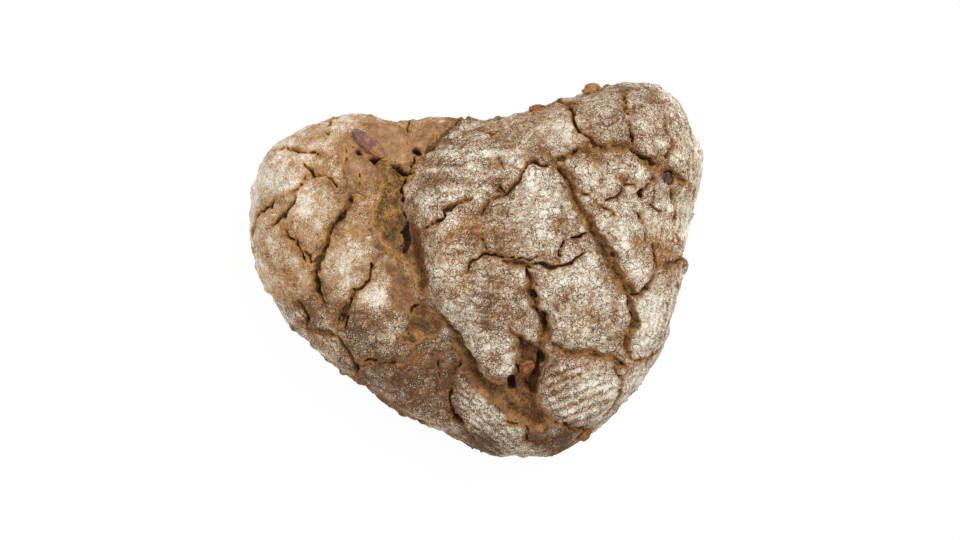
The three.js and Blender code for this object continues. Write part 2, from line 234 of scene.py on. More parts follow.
# Tears down the sides, as the turn about Z in degrees and the height above the underside in mm.
SIDE_TEARS = (
    Tear("side_right_a", 3.4, 4, ((-4, 44), (-9, 33), (-7, 22), (-12, 12))),
    Tear("side_right_notch", 3.6, 4.4, ((4, 44), (4.4, 32), (4, 22))),
    Tear("side_right_b", 3, 3.6, ((18, 38), (15, 28), (22, 18), (20, 9))),
    Tear("side_right_c", 2.6, 3, ((30, 43), (36, 33), (34, 20))),
    Tear("side_right_band", 3.2, 3.6, ((-32, 16), (-22, 20), (-12, 17), (-2, 21), (8, 18), (20, 22))),
    Tear("side_crown_a", 3, 3.4, ((54, 44), (51, 34), (57, 22), (55, 12))),
    Tear("side_crown_band", 3.4, 3.8, ((38, 18), (46, 22), (58, 18), (68, 23), (76, 20))),
    Tear("side_notch_a", 3, 3.6, ((97, 40), (94, 30), (101, 18))),
    Tear("side_notch_band", 2.8, 3.2, ((84, 17), (96, 21), (108, 17), (118, 20))),
    Tear("side_small_a", 3, 3.4, ((136, 40), (133, 28), (139, 16))),
    Tear("side_small_b", 2.6, 3, ((150, 36), (156, 26), (153, 14))),
    Tear("side_small_c", 3, 3.4, ((177, 36), (174, 24), (181, 13))),
    Tear("side_small_band", 3.2, 3.6, ((142, 19), (154, 15), (166, 20), (180, 16), (194, 20))),
    Tear("side_lower_a", 3, 3.6, ((205, 38), (202, 28), (208, 17))),
    Tear("side_lower_b", 3.4, 4, ((228, 41), (225, 31), (232, 20), (229, 11))),
    Tear("side_lower_band", 3.2, 3.6, ((206, 15), (218, 20), (230, 16), (244, 21), (258, 17))),
    Tear("side_lower_c", 3, 3.6, ((251, 40), (248, 29), (254, 18))),
    Tear("side_point_a", 3.4, 4, ((273, 41), (270, 30), (277, 19), (274, 10))),
    Tear("side_point_b", 3, 3.6, ((296, 43), (293, 32), (300, 20))),
    Tear("side_point_band", 3, 3.4, ((264, 20), (276, 15), (288, 20), (300, 16), (314, 20))),
    Tear("side_point_c", 3, 3.4, ((323, 41), (320, 30), (327, 18))),
)

# Wide torn hollows: how deep, how wide the wall round them is, and their outline.
Hollow = namedtuple("Hollow", "name depth wall outline")

HOLLOWS = (
    Hollow("fold", 3.4, 6, (
        (-46, 57), (-49, 53), (-51, 47), (-52, 41), (-55, 36), (-56, 29), (-55, 21), (-53, 14),
        (-48, 10), (-44, 7), (-38, 2), (-35, -2), (-34, -6), (-31, -13), (-25, -15), (-25, -8),
        (-26, 0), (-27, 8), (-28, 15), (-30, 21), (-36, 25), (-37.5, 32), (-37.5, 46), (-33, 52),
        (-38, 56))),
    Hollow("under_almond", 1.8, 3, (
        (-62, 62), (-56, 59.6), (-49, 59), (-45, 56.4), (-46, 50), (-49.6, 46), (-53, 51), (-57, 56.6))),
    Hollow("fold_diamond", 3, 3, (
        (-30, -16), (-37, -25), (-38, -33), (-42, -39), (-35, -42), (-25, -38), (-18, -31),
        (-19, -24))),
    Hollow("lower_hollow", 5.5, 3, (
        (16.4, -29), (22, -33.6), (27, -38), (31.6, -40), (34, -46), (31, -60), (34, -72), (40, -80),
        (35, -85), (25, -83),
        (17, -77), (13, -71), (4, -68), (-3, -62), (-7, -55), (-8, -47), (-13, -39), (-14, -34),
        (-8, -37), (-4, -42), (0, -49), (4, -56), (12, -61), (18, -58), (21.6, -51), (22.4, -45),
        (21, -39), (17.6, -33))),
)

# Plates of crust that stand over the crumb round them: the lift, how wide their rounded edge is, the
# fine ridges that the basket's cane printed in them (height, heading in degrees and spacing), the outline.
Plate = namedtuple("Plate", "name lift wall ridge ridge_turn ridge_gap outline")

PLATES = (
    Plate("tongue", 2.2, 4, 0, 0, 4, (
        (-20, -12), (-6, -1), (10, 5), (25, 2), (26, -8), (30, -17), (33, -25), (31, -36), (26, -36),
        (19, -30), (22, -42), (21, -52), (17, -58), (11, -60), (5, -56), (0, -49), (-6, -41),
        (-12, -32), (-20, -20))),
    Plate("middle_plate", 2, 4, 0, 0, 4, (
        (34, -2), (33, -14), (38, -26), (40, -38), (46, -41), (54, -43), (62, -42), (70, -46),
        (78, -44), (80, -36), (82, -30), (78, -20), (74, -10), (68, -2), (56, 4), (44, 0))),
    Plate("lower_pad", 2.8, 4, 0.62, 21, 4.7, (
        (38, -46), (46, -49), (56, -50), (66, -52), (72, -56), (75, -62), (74, -68), (70, -74),
        (62, -80), (54, -84), (44, -81), (38, -76), (34, -68), (34, -58), (36, -50))),
    Plate("right_plate", 1.6, 4, 0.35, 78, 2.8, (
        (84, -16), (92, -12), (102, -8), (108, -12), (104, -26), (101, -36), (94, -43), (86, -45),
        (83, -40), (82, -34), (88, -28), (86, -20))),
    Plate("point_plate", 2, 3, 0.4, -38, 3, (
        (-9, -58), (-3, -62), (4, -70), (12, -74), (18, -79), (26, -84), (26, -92), (20, -99),
        (8, -99), (2, -92), (-6, -84), (-10, -72))),
    Plate("shoulder_plate", 1.4, 4, 0.3, 84, 3, (
        (92, 36), (88, 26), (91, 14), (97, 10), (104, 8), (112, 12), (114, 26), (112, 36), (102, 36))),
)

# Crust that stayed smooth and brown, without flour: the saddle and the wall of the fold.
BARE_PATCHES = (
    ((-58, 80), (-55, 66), (-48, 60), (-40, 60), (-30, 64), (-20, 71), (-8, 80), (-6, 86), (-40, 86)),
    ((-47, 4), (-41, -1), (-35, -7), (-31, -18), (-37, -24), (-44, -20), (-47, -9)),
    ((-76, 66), (-72, 58), (-66, 50), (-60, 44), (-55, 52), (-50, 60), (-60, 72), (-70, 74)),
)

# Where the larger lobe's skin folded under and baked dark and red: how strongly, and the outline.
SEARED_PATCHES = (
    (1.0, ((-34, 29), (-30, 23), (-27, 12), (-25, 2), (-25, -9), (-29.4, -9), (-32, 4), (-34.6, 15))),
    (0.22, ((-66, 66), (-61, 48), (-55, 40), (-50, 47), (-48, 58), (-56, 62))),
    (0.64, ((-47, 4), (-41, -1), (-35, -7), (-31, -18), (-37, -24), (-44, -20), (-47, -9))),
    (0.5, ((-8, -44), (-2, -48), (3, -57), (10, -63), (6, -67), (-3, -62), (-7, -54))),
    (1.0, ((24, -36), (29, -40), (33, -47), (31, -52), (24, -47))),
    (0.42, ((28, -40), (35, -44), (36, -60), (36, -74), (42, -84), (30, -86), (15, -76), (6, -66),
           (12, -62), (22, -56), (24, -46))),
    (0.45, ((-22, -42), (-12, -42), (-8, -50), (-10, -60), (-16, -62), (-20, -52))),
)

# Crust that baked to a warm tan: the smaller lobe and the saddle.
TAN_PATCHES = (
    ((-130, -12), (-130, 80), (-60, 100), (-5, 95), (-24, 66), (-36, 52), (-40, 20), (-30, 0),
     (-34, -14), (-60, -22), (-85, -14), (-100, -18)),
)

# Flour lies in clouds: the middle's X and Y and the radius, in mm, and the share of a full dusting.
# Along the bottom rim, below Y -84, the clouds that take flour away are partly painted shade: they darken
# the lower flank as if it lay in shade.
FLOUR_CLOUDS = (
    # The smaller lobe
    (-104, 50, 10, 0.5), (-72, 79, 7, 0.26), (-79, 68, 4, 0.34), (-75, 53, 4, 0.32),
    (-89, 36, 10, 0.46), (-104, 66, 5, 0.26), (-89, 59, 5, 0.24), (-67, 7, 10, 0.42),
    (-51, -12, 7, 0.46), (-60, -14, 8, 0.12), (-117, 44, 10, 0.24), (-106, 2, 12, -0.1),
    (-77, -44, 6, 0.2), (-52, 14, 11, -0.14), (-72, -50, 9, -0.12), (-42, -33, 9, 0.08),
    (-24, -84, 6, 0.2), (-66, -33, 9, -0.2), (-80, 64, 10, -0.02), (-64, 40, 12, -0.14),
    (-82, -7, 6, -0.2), (-85, -26, 12, -0.12), (-45, -60, 22, -0.22), (-28, -62, 16, -0.2),
    (-20, -48, 10, -0.2), (-93, 70, 6, 0.12), (-107, 18, 8, 0.14), (-66, 20, 10, -0.14),
    (-80, 6, 6, -0.12), (-92, 50, 6, -0.12), (-58, -26, 8, -0.12), (-108, 26, 8, 0.2),
    (-82, 83, 6, 0.2), (-80, 71, 5, -0.14), (-50, -3, 8, -0.14), (-80, -8, 6, -0.14),
    (-68, -34, 6, -0.1), (-41, -67, 8, 0.14), (-106, 57, 8, -0.14), (-28, -85, 7, -0.12),
    # The larger lobe
    (-14, 31, 6, 0.14), (22, 31, 7, 0.14), (23, 58, 6, 0.08), (11, 70, 7, -0.12), (0, -34, 7, 0.14),
    (0, -46, 4, 0.2), (102, 20, 12, 0.18), (114, 30, 11, 0.2), (114, 66, 12, 0.16), (64, 18, 6, 0.16),
    (90, -9, 8, 0.22), (88, 6, 7, -0.14), (49, -72, 6, 0.14), (10, -86, 6, -0.1), (24, -84, 5, 0.1),
    (50, -87, 6, -0.16), (101, 70, 8, -0.12), (-2, 84, 7, -0.16), (-14, 44, 8, -0.08),
    (48, 32, 7, -0.1), (3, -86, 8, -0.1), (62, 57, 6, -0.14), (-9, -73, 6, -0.1), (22, -74, 5, 0.12),
    (11, -48, 6, -0.12), (52, 95, 8, 0.3), (8, 5, 8, -0.12), (24, 5, 6, 0.2), (49, 70, 8, 0.2),
    (62, 83, 8, -0.1), (-2, 60, 6, 0.06), (36, 31, 6, 0.08), (36, -48, 6, -0.14), (101, -47, 7, -0.12),
    (101, -10, 7, -0.12), (88, 31, 7, 0.12), (88, 44, 6, 0.12), (-2, 31, 6, -0.1), (-15, 31, 5, 0.14),
    (101, 84, 9, 0.12), (78, 20, 10, 0.08), (40, 30, 60, 0.07), (-2, 61, 9, 0.2), (8, 60, 9, 0.14),
    (-15, 56, 7, -0.14), (-5, 42, 9, 0.12), (-2, 30, 7, -0.14), (-29, 34, 5, 0.26), (-18, 22, 12, 0.14),
    (31, 46, 9, 0.18), (41, 30, 9, 0.24), (22, 54, 7, 0.2), (10, 18, 9, -0.04), (32, 14, 11, 0.2),
    (-27, 46, 6, -0.2), (8, -19, 10, -0.18), (-14, -7, 8, 0.26), (-8, -22, 7, 0.14), (13, -38, 8, 0.12),
    (16, -53, 7, 0.4), (50, 9, 7, 0.24), (61, 5, 7, 0.3), (60, -8, 8, 0.14), (46, -8, 10, 0.28),
    (62, -22, 14, 0.17), (56, -37, 8, 0.24), (90, -24, 9, 0.4), (89, -40, 7, 0.36), (99, -14, 9, 0.26),
    (84, 1, 7, 0.32), (78, 16, 9, 0.24), (72, 28, 8, 0.14), (58, 52, 7, 0.12), (68, 45, 8, 0.18),
    (80, 47, 9, 0.14), (66, 78, 10, 0.04), (36, 72, 9, 0.12), (22, 80, 12, 0.06), (84, 78, 6, -0.06),
    (98, 93, 8, -0.04), (92, 76, 11, 0.14), (68, 84, 12, 0.06), (90, 50, 9, 0.1), (108, 62, 9, 0.14),
    (100, 38, 8, 0.14), (94, 22, 8, 0.1), (105, 13, 7, -0.08), (104, -2, 6, 0.12), (60, -65, 11, 0.26),
    (39, -57, 7, -0.26), (64, -78, 7, 0.2), (80, -60, 12, 0.34), (1, -68, 8, 0.24), (10, -77, 7, 0.2),
    (6, -92, 11, -0.28), (24, -100, 9, 0.24), (17, -86, 6, 0.16), (40, -90, 12, -0.2),
    (44, -38, 5, -0.1), (30, 90, 10, -0.1),
)

# Where the crust baked warmer or, below 0, greyer under its flour.
WARM_CLOUDS = (
    (-27, 54, 11, 0.6), (-4, 32, 9, 0.5), (-16, 12, 16, 0.6), (8, 14, 13, 0.5), (2, 84, 10, 0.4),
    (30, 82, 20, 0.6), (54, 84, 12, 0.5), (62, 57, 7, 0.5), (97, 12, 12, 0.7), (-14, -4, 9, 0.4),
    (-82, -34, 18, 0.5), (-30, -38, 14, 0.4), (62, -47, 6, 0.4), (11, -60, 8, 0.4), (24, -94, 26, -0.9),
    (50, -88, 12, -0.6), (-10, -84, 12, -0.4), (14, -80, 14, -0.5), (-64, 52, 8, -0.5),
    (-58, 2, 13, -0.6), (-78, -10, 10, -0.5), (-80, 44, 8, -0.4), (-104, 44, 8, -0.5),
    (-52, 14, 8, -0.4), (-54, 60, 7, -0.4),
)

# Ribs printed by the coils of the proving basket: the place up the heart and the flour they took.
RIBS = ((75, 0.06), (68, -0.08), (63, 0.2), (57, -0.16), (52, 0.18), (47, -0.14), (42, 0.2), (36, 0.12),
        (27, 0.12), (17, -0.1), (10, -0.06), (4, 0.14))
RIB_HALF_WIDTH = 2.6
PLUMPNESS = 0.9  # how far the baked crust stands out from the form, in mm

# Crumbs and blisters stuck to the crust: the place, the radius and the height.
BLISTERS = (
    (-58.4, 84.2, 2.6, 2.2), (-6, 81, 2.2, 1), (12, 83.4, 2.8, 2), (117, 29.5, 2.6, 2),
    (46, 90, 2.4, 1.8), (70, 99, 2.4, 1.4), (-108, -20, 2.6, 1), (-46, 24, 3, 1.5), (-44, 38, 2.6, 1.2),
    (-36, -30, 3, 1.4), (12, -73, 2.4, 1.2), (-100, -31, 2.6, 1.8), (-80, -48.6, 2.8, 1.6),
    (-71.6, -54, 2.4, 2), (-62.6, -60.6, 2.2, 1.4), (-40, -78, 2.8, 1.2), (-31, -82, 3, 1.2),
    (112, 2, 4.6, 3.6), (114.6, -0.6, 3, 2.4),
)

# Where the side swells out or dips in at half its height: the place, the radius and the amount.
SWELLS = (
    (-110, 66, 9, 1.3), (-22, 82, 11, 0.8), (46, 92, 8, 1.4), (104, 95, 7, 0.7), (121, 62, 6, 2.2),
    (109, -11, 8, 0.9), (100, -42, 7, 1.4), (66, -85, 9, 1), (44, -98, 9, 1.2), (5, -98, 5, 1.2),
    (-27, -84, 9, 1.2), (-38, -80, 5, 0.6), (-71, -56, 8, 1.4), (-83, -47, 8, 1.4), (-117, -4, 7, 1.1),
    (-121, 41, 8, -1.4), (-53, 82, 5, -0.6), (91, 99, 9, -0.9), (117, 76, 10, -1.8), (114, 25, 5, -0.7),
    (103, -33, 6, -0.9), (95, -52, 5, -0.8), (80, -72, 7, -1.3), (-14, -91, 9, -1), (-52, -71, 8, -0.8),
    (-92, -38, 5, -0.7),
)
SWELL_HEIGHT = 33

EVEN_DUSTING = 0.4  # the flour where no cloud lies, as a share of a full dusting
BARE_BORDER = 2.5  # how soft the edges of the patches are, in mm
SEARED_BORDER = 1.2
BLISTER_SEARED = 0.7  # how strongly the blisters baked
TAN_BORDER = 7
REFINING_ROUNDS = 5
# How far a place is sunk also darkens the crumb in the tears as painted shade.
DEEPEST = 7.0  # a place sunk this far in mm counts as the bottom
UNDERSIDE = 0.6  # below this height in mm the mesh may be coarse


def linear(red, green, blue):
    """A display colour, 0 to 255, as the linear colour that a shader takes."""
    def one(value):
        share = value / 255
        return share / 12.92 if share <= 0.04045 else ((share + 0.055) / 1.055) ** 2.4

    return tuple(one(value) for value in (red, green, blue))


def colour_property(name, description, default):
    return FloatVectorProperty(
        name=name, description=description, subtype="COLOR", size=3, min=0, max=1, default=default
    )


def length_property(name, description, default):
    return FloatProperty(
        name=name, description=description, default=default, min=0, unit="LENGTH", subtype="DISTANCE"
    )


def power_property(name, description, default):
    return FloatProperty(name=name, description=description, default=default, min=0, unit="POWER")


# ---- What a user would change ----


class RyeLoafSettings(bpy.types.PropertyGroup):
    """Sizes and colours of the loaf."""

    fine_edge: length_property("Fine Edge", "Longest mesh edge in a tear", 0.72 * MM)
    plate_edge: length_property("Plate Edge", "Longest mesh edge on the crust between tears", 1.75 * MM)
    base_edge: length_property("Base Edge", "Longest mesh edge on the underside", 6 * MM)
    tear_depth: FloatProperty(
        name="Tear Depth", description="Scales the depth of every tear", default=1, min=0, subtype="FACTOR"
    )
    seed: IntProperty(name="Seed", description="Chooses the grain of the crust", default=7, min=0)
    most_triangles: IntProperty(
        name="Most Triangles", description="How many triangles the loaf may have", default=196000, min=1000
    )
    dark_crust: colour_property("Dark Crust", "Crust where it baked darkest", linear(88, 63, 47))
    crust: colour_property("Crust", "Baked crust with hardly any flour", linear(132, 102, 77))
    mid_crust: colour_property("Dusted Crust", "Crust under a trace of flour", linear(172, 150, 124))
    pale_crust: colour_property("Pale Crust", "Crust under a thin dusting", linear(201, 187, 164))
    flour: colour_property("Flour", "Rye flour on the crust", linear(240, 234, 219))
    dark_tan: colour_property("Dark Tan", "Tan crust where it is darkest", linear(114, 80, 51))
    tan: colour_property("Tan", "Tan crust with hardly any flour", linear(166, 127, 87))
    mid_tan: colour_property("Dusted Tan", "Tan crust under a trace of flour", linear(192, 160, 123))
    pale_tan: colour_property("Pale Tan", "Tan crust under a thin dusting", linear(214, 195, 168))
    bare: colour_property("Bare Crust", "Smooth crust that took no flour", linear(164, 121, 83))
    seared: colour_property("Seared Crust", "Crust that folded under and baked dark", linear(124, 64, 32))
    toasted: colour_property("Toasted Edge", "Thin edges of the crust", linear(180, 120, 56))
    golden: colour_property("Golden Edge", "Thin edges of the tan crust", linear(204, 144, 62))
    pale_crumb: colour_property("Pale Crumb", "Torn crumb that stands up", linear(190, 146, 88))
    # The deep and dark crumb colours are partly painted shade for the floors and fissures of the tears; the
    # dark crumb also mottles the seared crust.
    crumb: colour_property("Crumb", "Torn crumb near the crust", linear(156, 112, 64))
    deep_crumb: colour_property("Deep Crumb", "Torn crumb on the floor of a tear", linear(108, 84, 58))
    grey_crumb: colour_property("Grey Crumb", "Torn crumb where rye shows grey", linear(122, 103, 76))
    dark_crumb: colour_property("Dark Crumb", "Crumb at the bottom of a fissure", linear(58, 41, 31))


class RyeNutSettings(bpy.types.PropertyGroup):
    """Sizes and colours of the nuts."""

    wrinkle: length_property("Wrinkle", "Depth of the wrinkles in a nut's skin", 0.28 * MM)
    almond_skin: colour_property("Almond Skin", "Roasted skin of the whole almond", linear(140, 98, 88))
    almond_blush: colour_property("Almond Blush", "Warm end of the whole almond", linear(166, 116, 76))
    nut_tan: colour_property("Tan Nut", "Pale roasted nut", linear(172, 126, 80))
    nut_orange: colour_property("Orange Nut", "Toasted nut", linear(150, 92, 46))
    nut_dark: colour_property("Dark Nut", "Nut with a dark skin", linear(92, 62, 56))


class RyeStageSettings(bpy.types.PropertyGroup):
    """The floor, the lights and the camera."""

    floor_half: length_property("Floor Half Size", "Half the side of the floor", 4.0)
    camera_height: length_property("Camera Height", "Height of the camera above the floor", 3.0)
    view_width: length_property("View Width", "Width of the view at the loaf's waist", 518.4 * MM)
    key_power: power_property("Key Light", "Power of the key light", 17)
    fill_power: power_property("Fill Light", "Power of the fill light", 4)
    room_light: FloatProperty(
        name="Room Light", description="Even light from all round", default=0.68, min=0
    )
    floor_colour: colour_property("Floor", "Pale floor", (0.94, 0.94, 0.94))


# ---- Shader maths ----


class Wire:
    """A shader value that can be written in sums, with the material that it belongs to."""

    def __init__(self, shop, value):
        self.shop = shop
        self.value = value

    def _math(self, operation, *others, swap=False):
        terms = [self, *others]
        if swap:
            terms.reverse()
        return self.shop.node("ShaderNodeMath", {"operation": operation}, *terms)

    def __add__(self, other):
        return self._math("ADD", other)

    __radd__ = __add__

    def __sub__(self, other):
        return self._math("SUBTRACT", other)

    def __rsub__(self, other):
        return self._math("SUBTRACT", other, swap=True)

    def __mul__(self, other):
        return self._math("MULTIPLY", other)

    __rmul__ = __mul__

    def sine(self):
        return self._math("SINE")

    def least(self, other):
        return self._math("MINIMUM", other)

    def most(self, other):
        return self._math("MAXIMUM", other)

    def ramp(self, low, high):
        """0 below low, 1 above high, and smooth between them."""
        return self.shop.node(
            "ShaderNodeMapRange", {"interpolation_type": "SMOOTHSTEP", "clamp": True}, self, low, high, 0, 1
        )


class Workshop:
    """One material: makes its nodes and links them."""

    MIX_PLACES = (0, 6, 7)  # the sockets of a Mix node that take the factor and the two colours
    MIX_RESULT = 2  # and the one that gives the colour

    def __init__(self, name, shader):
        self.material = bpy.data.materials.new(name)
        self.material.use_nodes = True
        self.tree = self.material.node_tree
        self.tree.nodes.clear()
        self.shader = self.tree.nodes.new("ShaderNodeBsdfPrincipled")
        for socket, value in shader.items():
            self.shader.inputs[socket].default_value = value
        output = self.tree.nodes.new("ShaderNodeOutputMaterial")
        self.tree.links.new(self.shader.outputs["BSDF"], output.inputs["Surface"])
        self.place = self.node("ShaderNodeTexCoord", {}, output="Object")

    def node(self, kind, settings, *values, output=0, places=None, **named):
        """Makes a node: its settings first, then its sockets by order, by their places or by name."""
        made = self.tree.nodes.new(kind)
        for name, value in settings.items():
            if name == "stops":
                self.set_stops(made.color_ramp.elements, value)
            else:
                setattr(made, name, value)
        places = places or range(len(values))
        sockets = [(made.inputs[index], value) for index, value in zip(places, values)]
        sockets += [(made.inputs[name.replace("_", " ")], value) for name, value in named.items()]
        for socket, value in sockets:
            self.set(socket, value)
        return Wire(self, made.outputs[output])

    @staticmethod
    def set_stops(elements, stops):
        for place, _ in stops[2:]:
            elements.new(place)
        for element, (place, colour) in zip(elements, stops):
            element.position = place
            element.color = (*colour, 1)

    def set(self, socket, value):
        if isinstance(value, Wire):
            self.tree.links.new(value.value, socket)
        elif isinstance(value, tuple) and len(value) == 3 and socket.type == "RGBA":
            socket.default_value = (*value, 1)
        else:
            socket.default_value = value

    def feed(self, **sockets):
        for name, value in sockets.items():
            self.set(self.shader.inputs[name.replace("_", " ")], value)

    def colours(self, value, stops):
        """A colour that passes through the stops as value goes from 0 to 1."""
        return self.node("ShaderNodeValToRGB", {"stops": stops}, value)

    def attribute(self, name):
        return self.node("ShaderNodeAttribute", {"attribute_name": name}, output="Fac")

    def blend(self, share, first, second):
        """A colour that goes from first to second as share goes from 0 to 1."""
        return self.node(
            "ShaderNodeMix", {"data_type": "RGBA", "clamp_factor": True}, share, first, second,
            places=self.MIX_PLACES, output=self.MIX_RESULT,
        )

    def along(self, axis):
        """How far a place lies along X, Y or Z, in metres."""
        return self.node("ShaderNodeSeparateXYZ", {}, self.place, output=axis)

    def vectors(self, operation, first, second):
        return self.node("ShaderNodeVectorMath", {"operation": operation}, first, second)

    def shifted(self, shift, stretch):
        """The place moved by shift metres, so that two patterns of like size don't match."""
        narrowed = self.vectors("MULTIPLY", self.place, (1 / stretch, 1, 1))
        return self.vectors("ADD", narrowed, (shift, shift * 1.7, -shift))

    def grain(self, size, detail=4, roughness=0.55, distortion=0, shift=0, stretch=1):
        """Cloudy noise from -0.5 to 0.5 whose lumps are size metres across and stretched along X."""
        noise = self.node(
            "ShaderNodeTexNoise", {}, Vector=self.shifted(shift, stretch), Scale=1 / size, Detail=detail,
            Roughness=roughness, Distortion=distortion, output="Fac",
        )
        return noise - 0.5

    def cells(self, size, place, feature):
        """How far a place lies from the middles or the edges of cells that are size metres across."""
        return self.node(
            "ShaderNodeTexVoronoi", {"feature": feature}, Vector=place, Scale=1 / size, output="Distance"
        )

    def magnitude(self, value):
        return self.node("ShaderNodeMath", {"operation": "ABSOLUTE"}, value)

    def warped(self, amount, size):
        """The place, pushed about by noise so that a pattern on it looks grown and not ruled."""
        push = self.node("ShaderNodeTexNoise", {}, Vector=self.place, Scale=1 / size, output="Color")
        centred = self.vectors("SUBTRACT", push, (0.5, 0.5, 0.5))
        scaled = self.node("ShaderNodeVectorMath", {"operation": "SCALE"}, centred, Scale=amount)
        return self.vectors("ADD", self.place, scaled)

    def bump(self, height, distance, strength=1.0):
        return self.node(
            "ShaderNodeBump", {}, Strength=strength, Distance=distance, Height=height, output="Normal"
        )


# ---- Shapes ----


class Grain:
    """Smooth seeded noise from -1 to 1, worked out for many points at once."""

    CELLS = 64

    def __init__(self, seed):
        lattice = np.random.default_rng(seed).uniform(-1, 1, (self.CELLS,) * 3)
        self.lattice = lattice.astype(np.float32).ravel()

    def __call__(self, points, size, shift=0.0):
        place = (points / size + shift).astype(np.float32)
        cell = np.floor(place)
        part = place - cell
        part = (part * part * (3 - 2 * part)).T
        low = cell.astype(np.int32).T % self.CELLS
        high = (low + 1) % self.CELLS
        rows = []
        for x in (low[0], high[0]):
            for y in (low[1], high[1]):
                row = (x * self.CELLS + y) * self.CELLS
                start, end = self.lattice[row + low[2]], self.lattice[row + high[2]]
                rows.append(start + (end - start) * part[2])
        near = rows[0] + (rows[1] - rows[0]) * part[1]
        far = rows[2] + (rows[3] - rows[2]) * part[1]
        return near + (far - near) * part[0]

    def vector(self, points, size, shift=0.0):
        """Three independent noises, as a push in X, Y and Z."""
        return np.stack([self(points, size, shift + own) for own in (3.7, 17.3, 41.9)], axis=1)


def smoothstep(value, low, high):
    share = np.clip((value - low) / (high - low), 0, 1)
    return share * share * (3 - 2 * share)


def read_points(mesh):
    """A mesh's points in mm."""
    places = np.empty(len(mesh.vertices) * 3)
    mesh.vertices.foreach_get("co", places)
    return places.reshape(-1, 3) / MM


def write_points(mesh, points):
    mesh.vertices.foreach_set("co", (points * MM).ravel())
    mesh.update()


def read_normals(mesh):
    normals = np.empty(len(mesh.vertices) * 3)
    mesh.vertex_normals.foreach_get("vector", normals)
    return normals.reshape(-1, 3)


def merged_copy(node):
    """The CAD node's shape with its loose triangles joined."""
    bm = bmesh.new()
    bm.from_mesh(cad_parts[node].data)
    bmesh.ops.remove_doubles(bm, verts=bm.verts, dist=1e-6)
    return bm


def calm(bm, factor):
    """Moves every point towards the middle of its neighbours."""
    bmesh.ops.smooth_vert(
        bm, verts=bm.verts, factor=factor, use_axis_x=True, use_axis_y=True, use_axis_z=True
    )


class Form:
    """The loaf's smooth outer form, taken from the CAD loaf."""

    START_DETAIL = 6
    ABOVE = 200 * MM  # from where a ray looks down for a place of the plan
    MOST_INSET = 0.8  # how far towards the middle a place on the very rim may slip
    FLATNESS = 0.45  # how flat the ball is from which the form is cast
    CENTRE = Vector((0, 0, 30 * MM))
    CALM_ROUNDS = 5

    def __init__(self):
        source = merged_copy(LOAF)
        self.tree = BVHTree.FromBMesh(source)
        source.free()

    def cast(self, direction, start):
        hit = self.tree.ray_cast(start, direction)[0]
        if hit is None:
            raise RuntimeError("a ray missed the loaf's form")
        return hit

    def start_mesh(self):
        bm = bmesh.new()
        bmesh.ops.create_icosphere(bm, subdivisions=self.START_DETAIL, radius=1)
        for vert in bm.verts:
            direction = Vector((vert.co.x, vert.co.y, vert.co.z * self.FLATNESS)).normalized()
            vert.co = self.cast(direction, self.CENTRE)
        for _ in range(self.CALM_ROUNDS):
            calm(bm, 0.5)
        return bm

    def on_top(self, x, y):
        """The point of the top straight above a place of the plan, in mm."""
        inset = 1.0
        while inset > self.MOST_INSET:
            start = Vector((x * MM * inset, y * MM * inset, self.ABOVE))
            hit = self.tree.ray_cast(start, Vector((0, 0, -1)))[0]
            if hit is not None:
                return np.array(hit) / MM
            inset -= 0.01
        raise RuntimeError(f"the place {x}, {y} isn't on the loaf")

    def on_side(self, turn, height):
        """The point of the side at a turn about Z and a height, in mm."""
        angle = math.radians(turn)
        outward = Vector((math.cos(angle), math.sin(angle), 0))
        return np.array(self.cast(outward, Vector((0, 0, height * MM)))) / MM


END_WIDTH = 0.45  # a tear narrows to this share of its width at both ends


def tear_pieces(form):
    """Every straight piece of every tear: its two ends, the width at each and the depth."""
    pieces = []
    for tears, place in ((TOP_TEARS, form.on_top), (SIDE_TEARS, form.on_side)):
        for tear in tears:
            points = [place(*spot) for spot in tear.path]
            last = len(points) - 1
            ends = (0, last) if last > 1 else ()
            widths = [tear.width * (END_WIDTH if i in ends else 1) for i in range(last + 1)]
            for i in range(last):
                pieces.append((points[i], points[i + 1], widths[i], widths[i + 1], tear.depth))
    return pieces


TEAR_REACH = 9.0  # how far from a tear the crust still feels it, in mm
FISSURE_WIDTH = 2.3
WIDE_TEAR = 3.3  # a tear this wide has a fissure that wanders along its floor
# Inside a tear at least DEEP_TEAR deep, the crumb is painted dark as shade.
DEEP_TEAR = 4.2  # a tear this deep is dark inside, even where a wider and shallower one holds it
TEAR_WALL = (-0.15, 0.75)  # from where to where, inside a tear's edge, its wall falls to the floor
TOP_FROM = (36, 44)  # between these heights the side turns into the top


def into_tears(points, pieces, width=None):
    """How far each point lies inside the nearest tear's edge, in mm, and that tear's width and depth."""
    inside = np.full(len(points), -TEAR_REACH)
    widths = np.zeros(len(points))
    depths = np.zeros(len(points))
    order = np.argsort(points[:, 0])
    along = points[order, 0]
    for start, end, width_start, width_end, deep in pieces:
        low = np.minimum(start, end) - TEAR_REACH
        high = np.maximum(start, end) + TEAR_REACH
        first, last = np.searchsorted(along, (low[0], high[0]))
        near = order[first:last]
        near = near[(points[near, 1] > low[1]) & (points[near, 1] < high[1])]
        run = end - start
        share = np.clip((points[near] - start) @ run / (run @ run), 0, 1)
        gap = np.linalg.norm(points[near] - start - share[:, None] * run, axis=1)
        wide = width_start + share * (width_end - width_start) if width is None else width
        value = wide / 2 - gap
        better = value > inside[near]
        inside[near[better]] = value[better]
        widths[near[better]] = np.broadcast_to(wide, value.shape)[better]
        depths[near[better]] = deep
    return inside, widths, depths


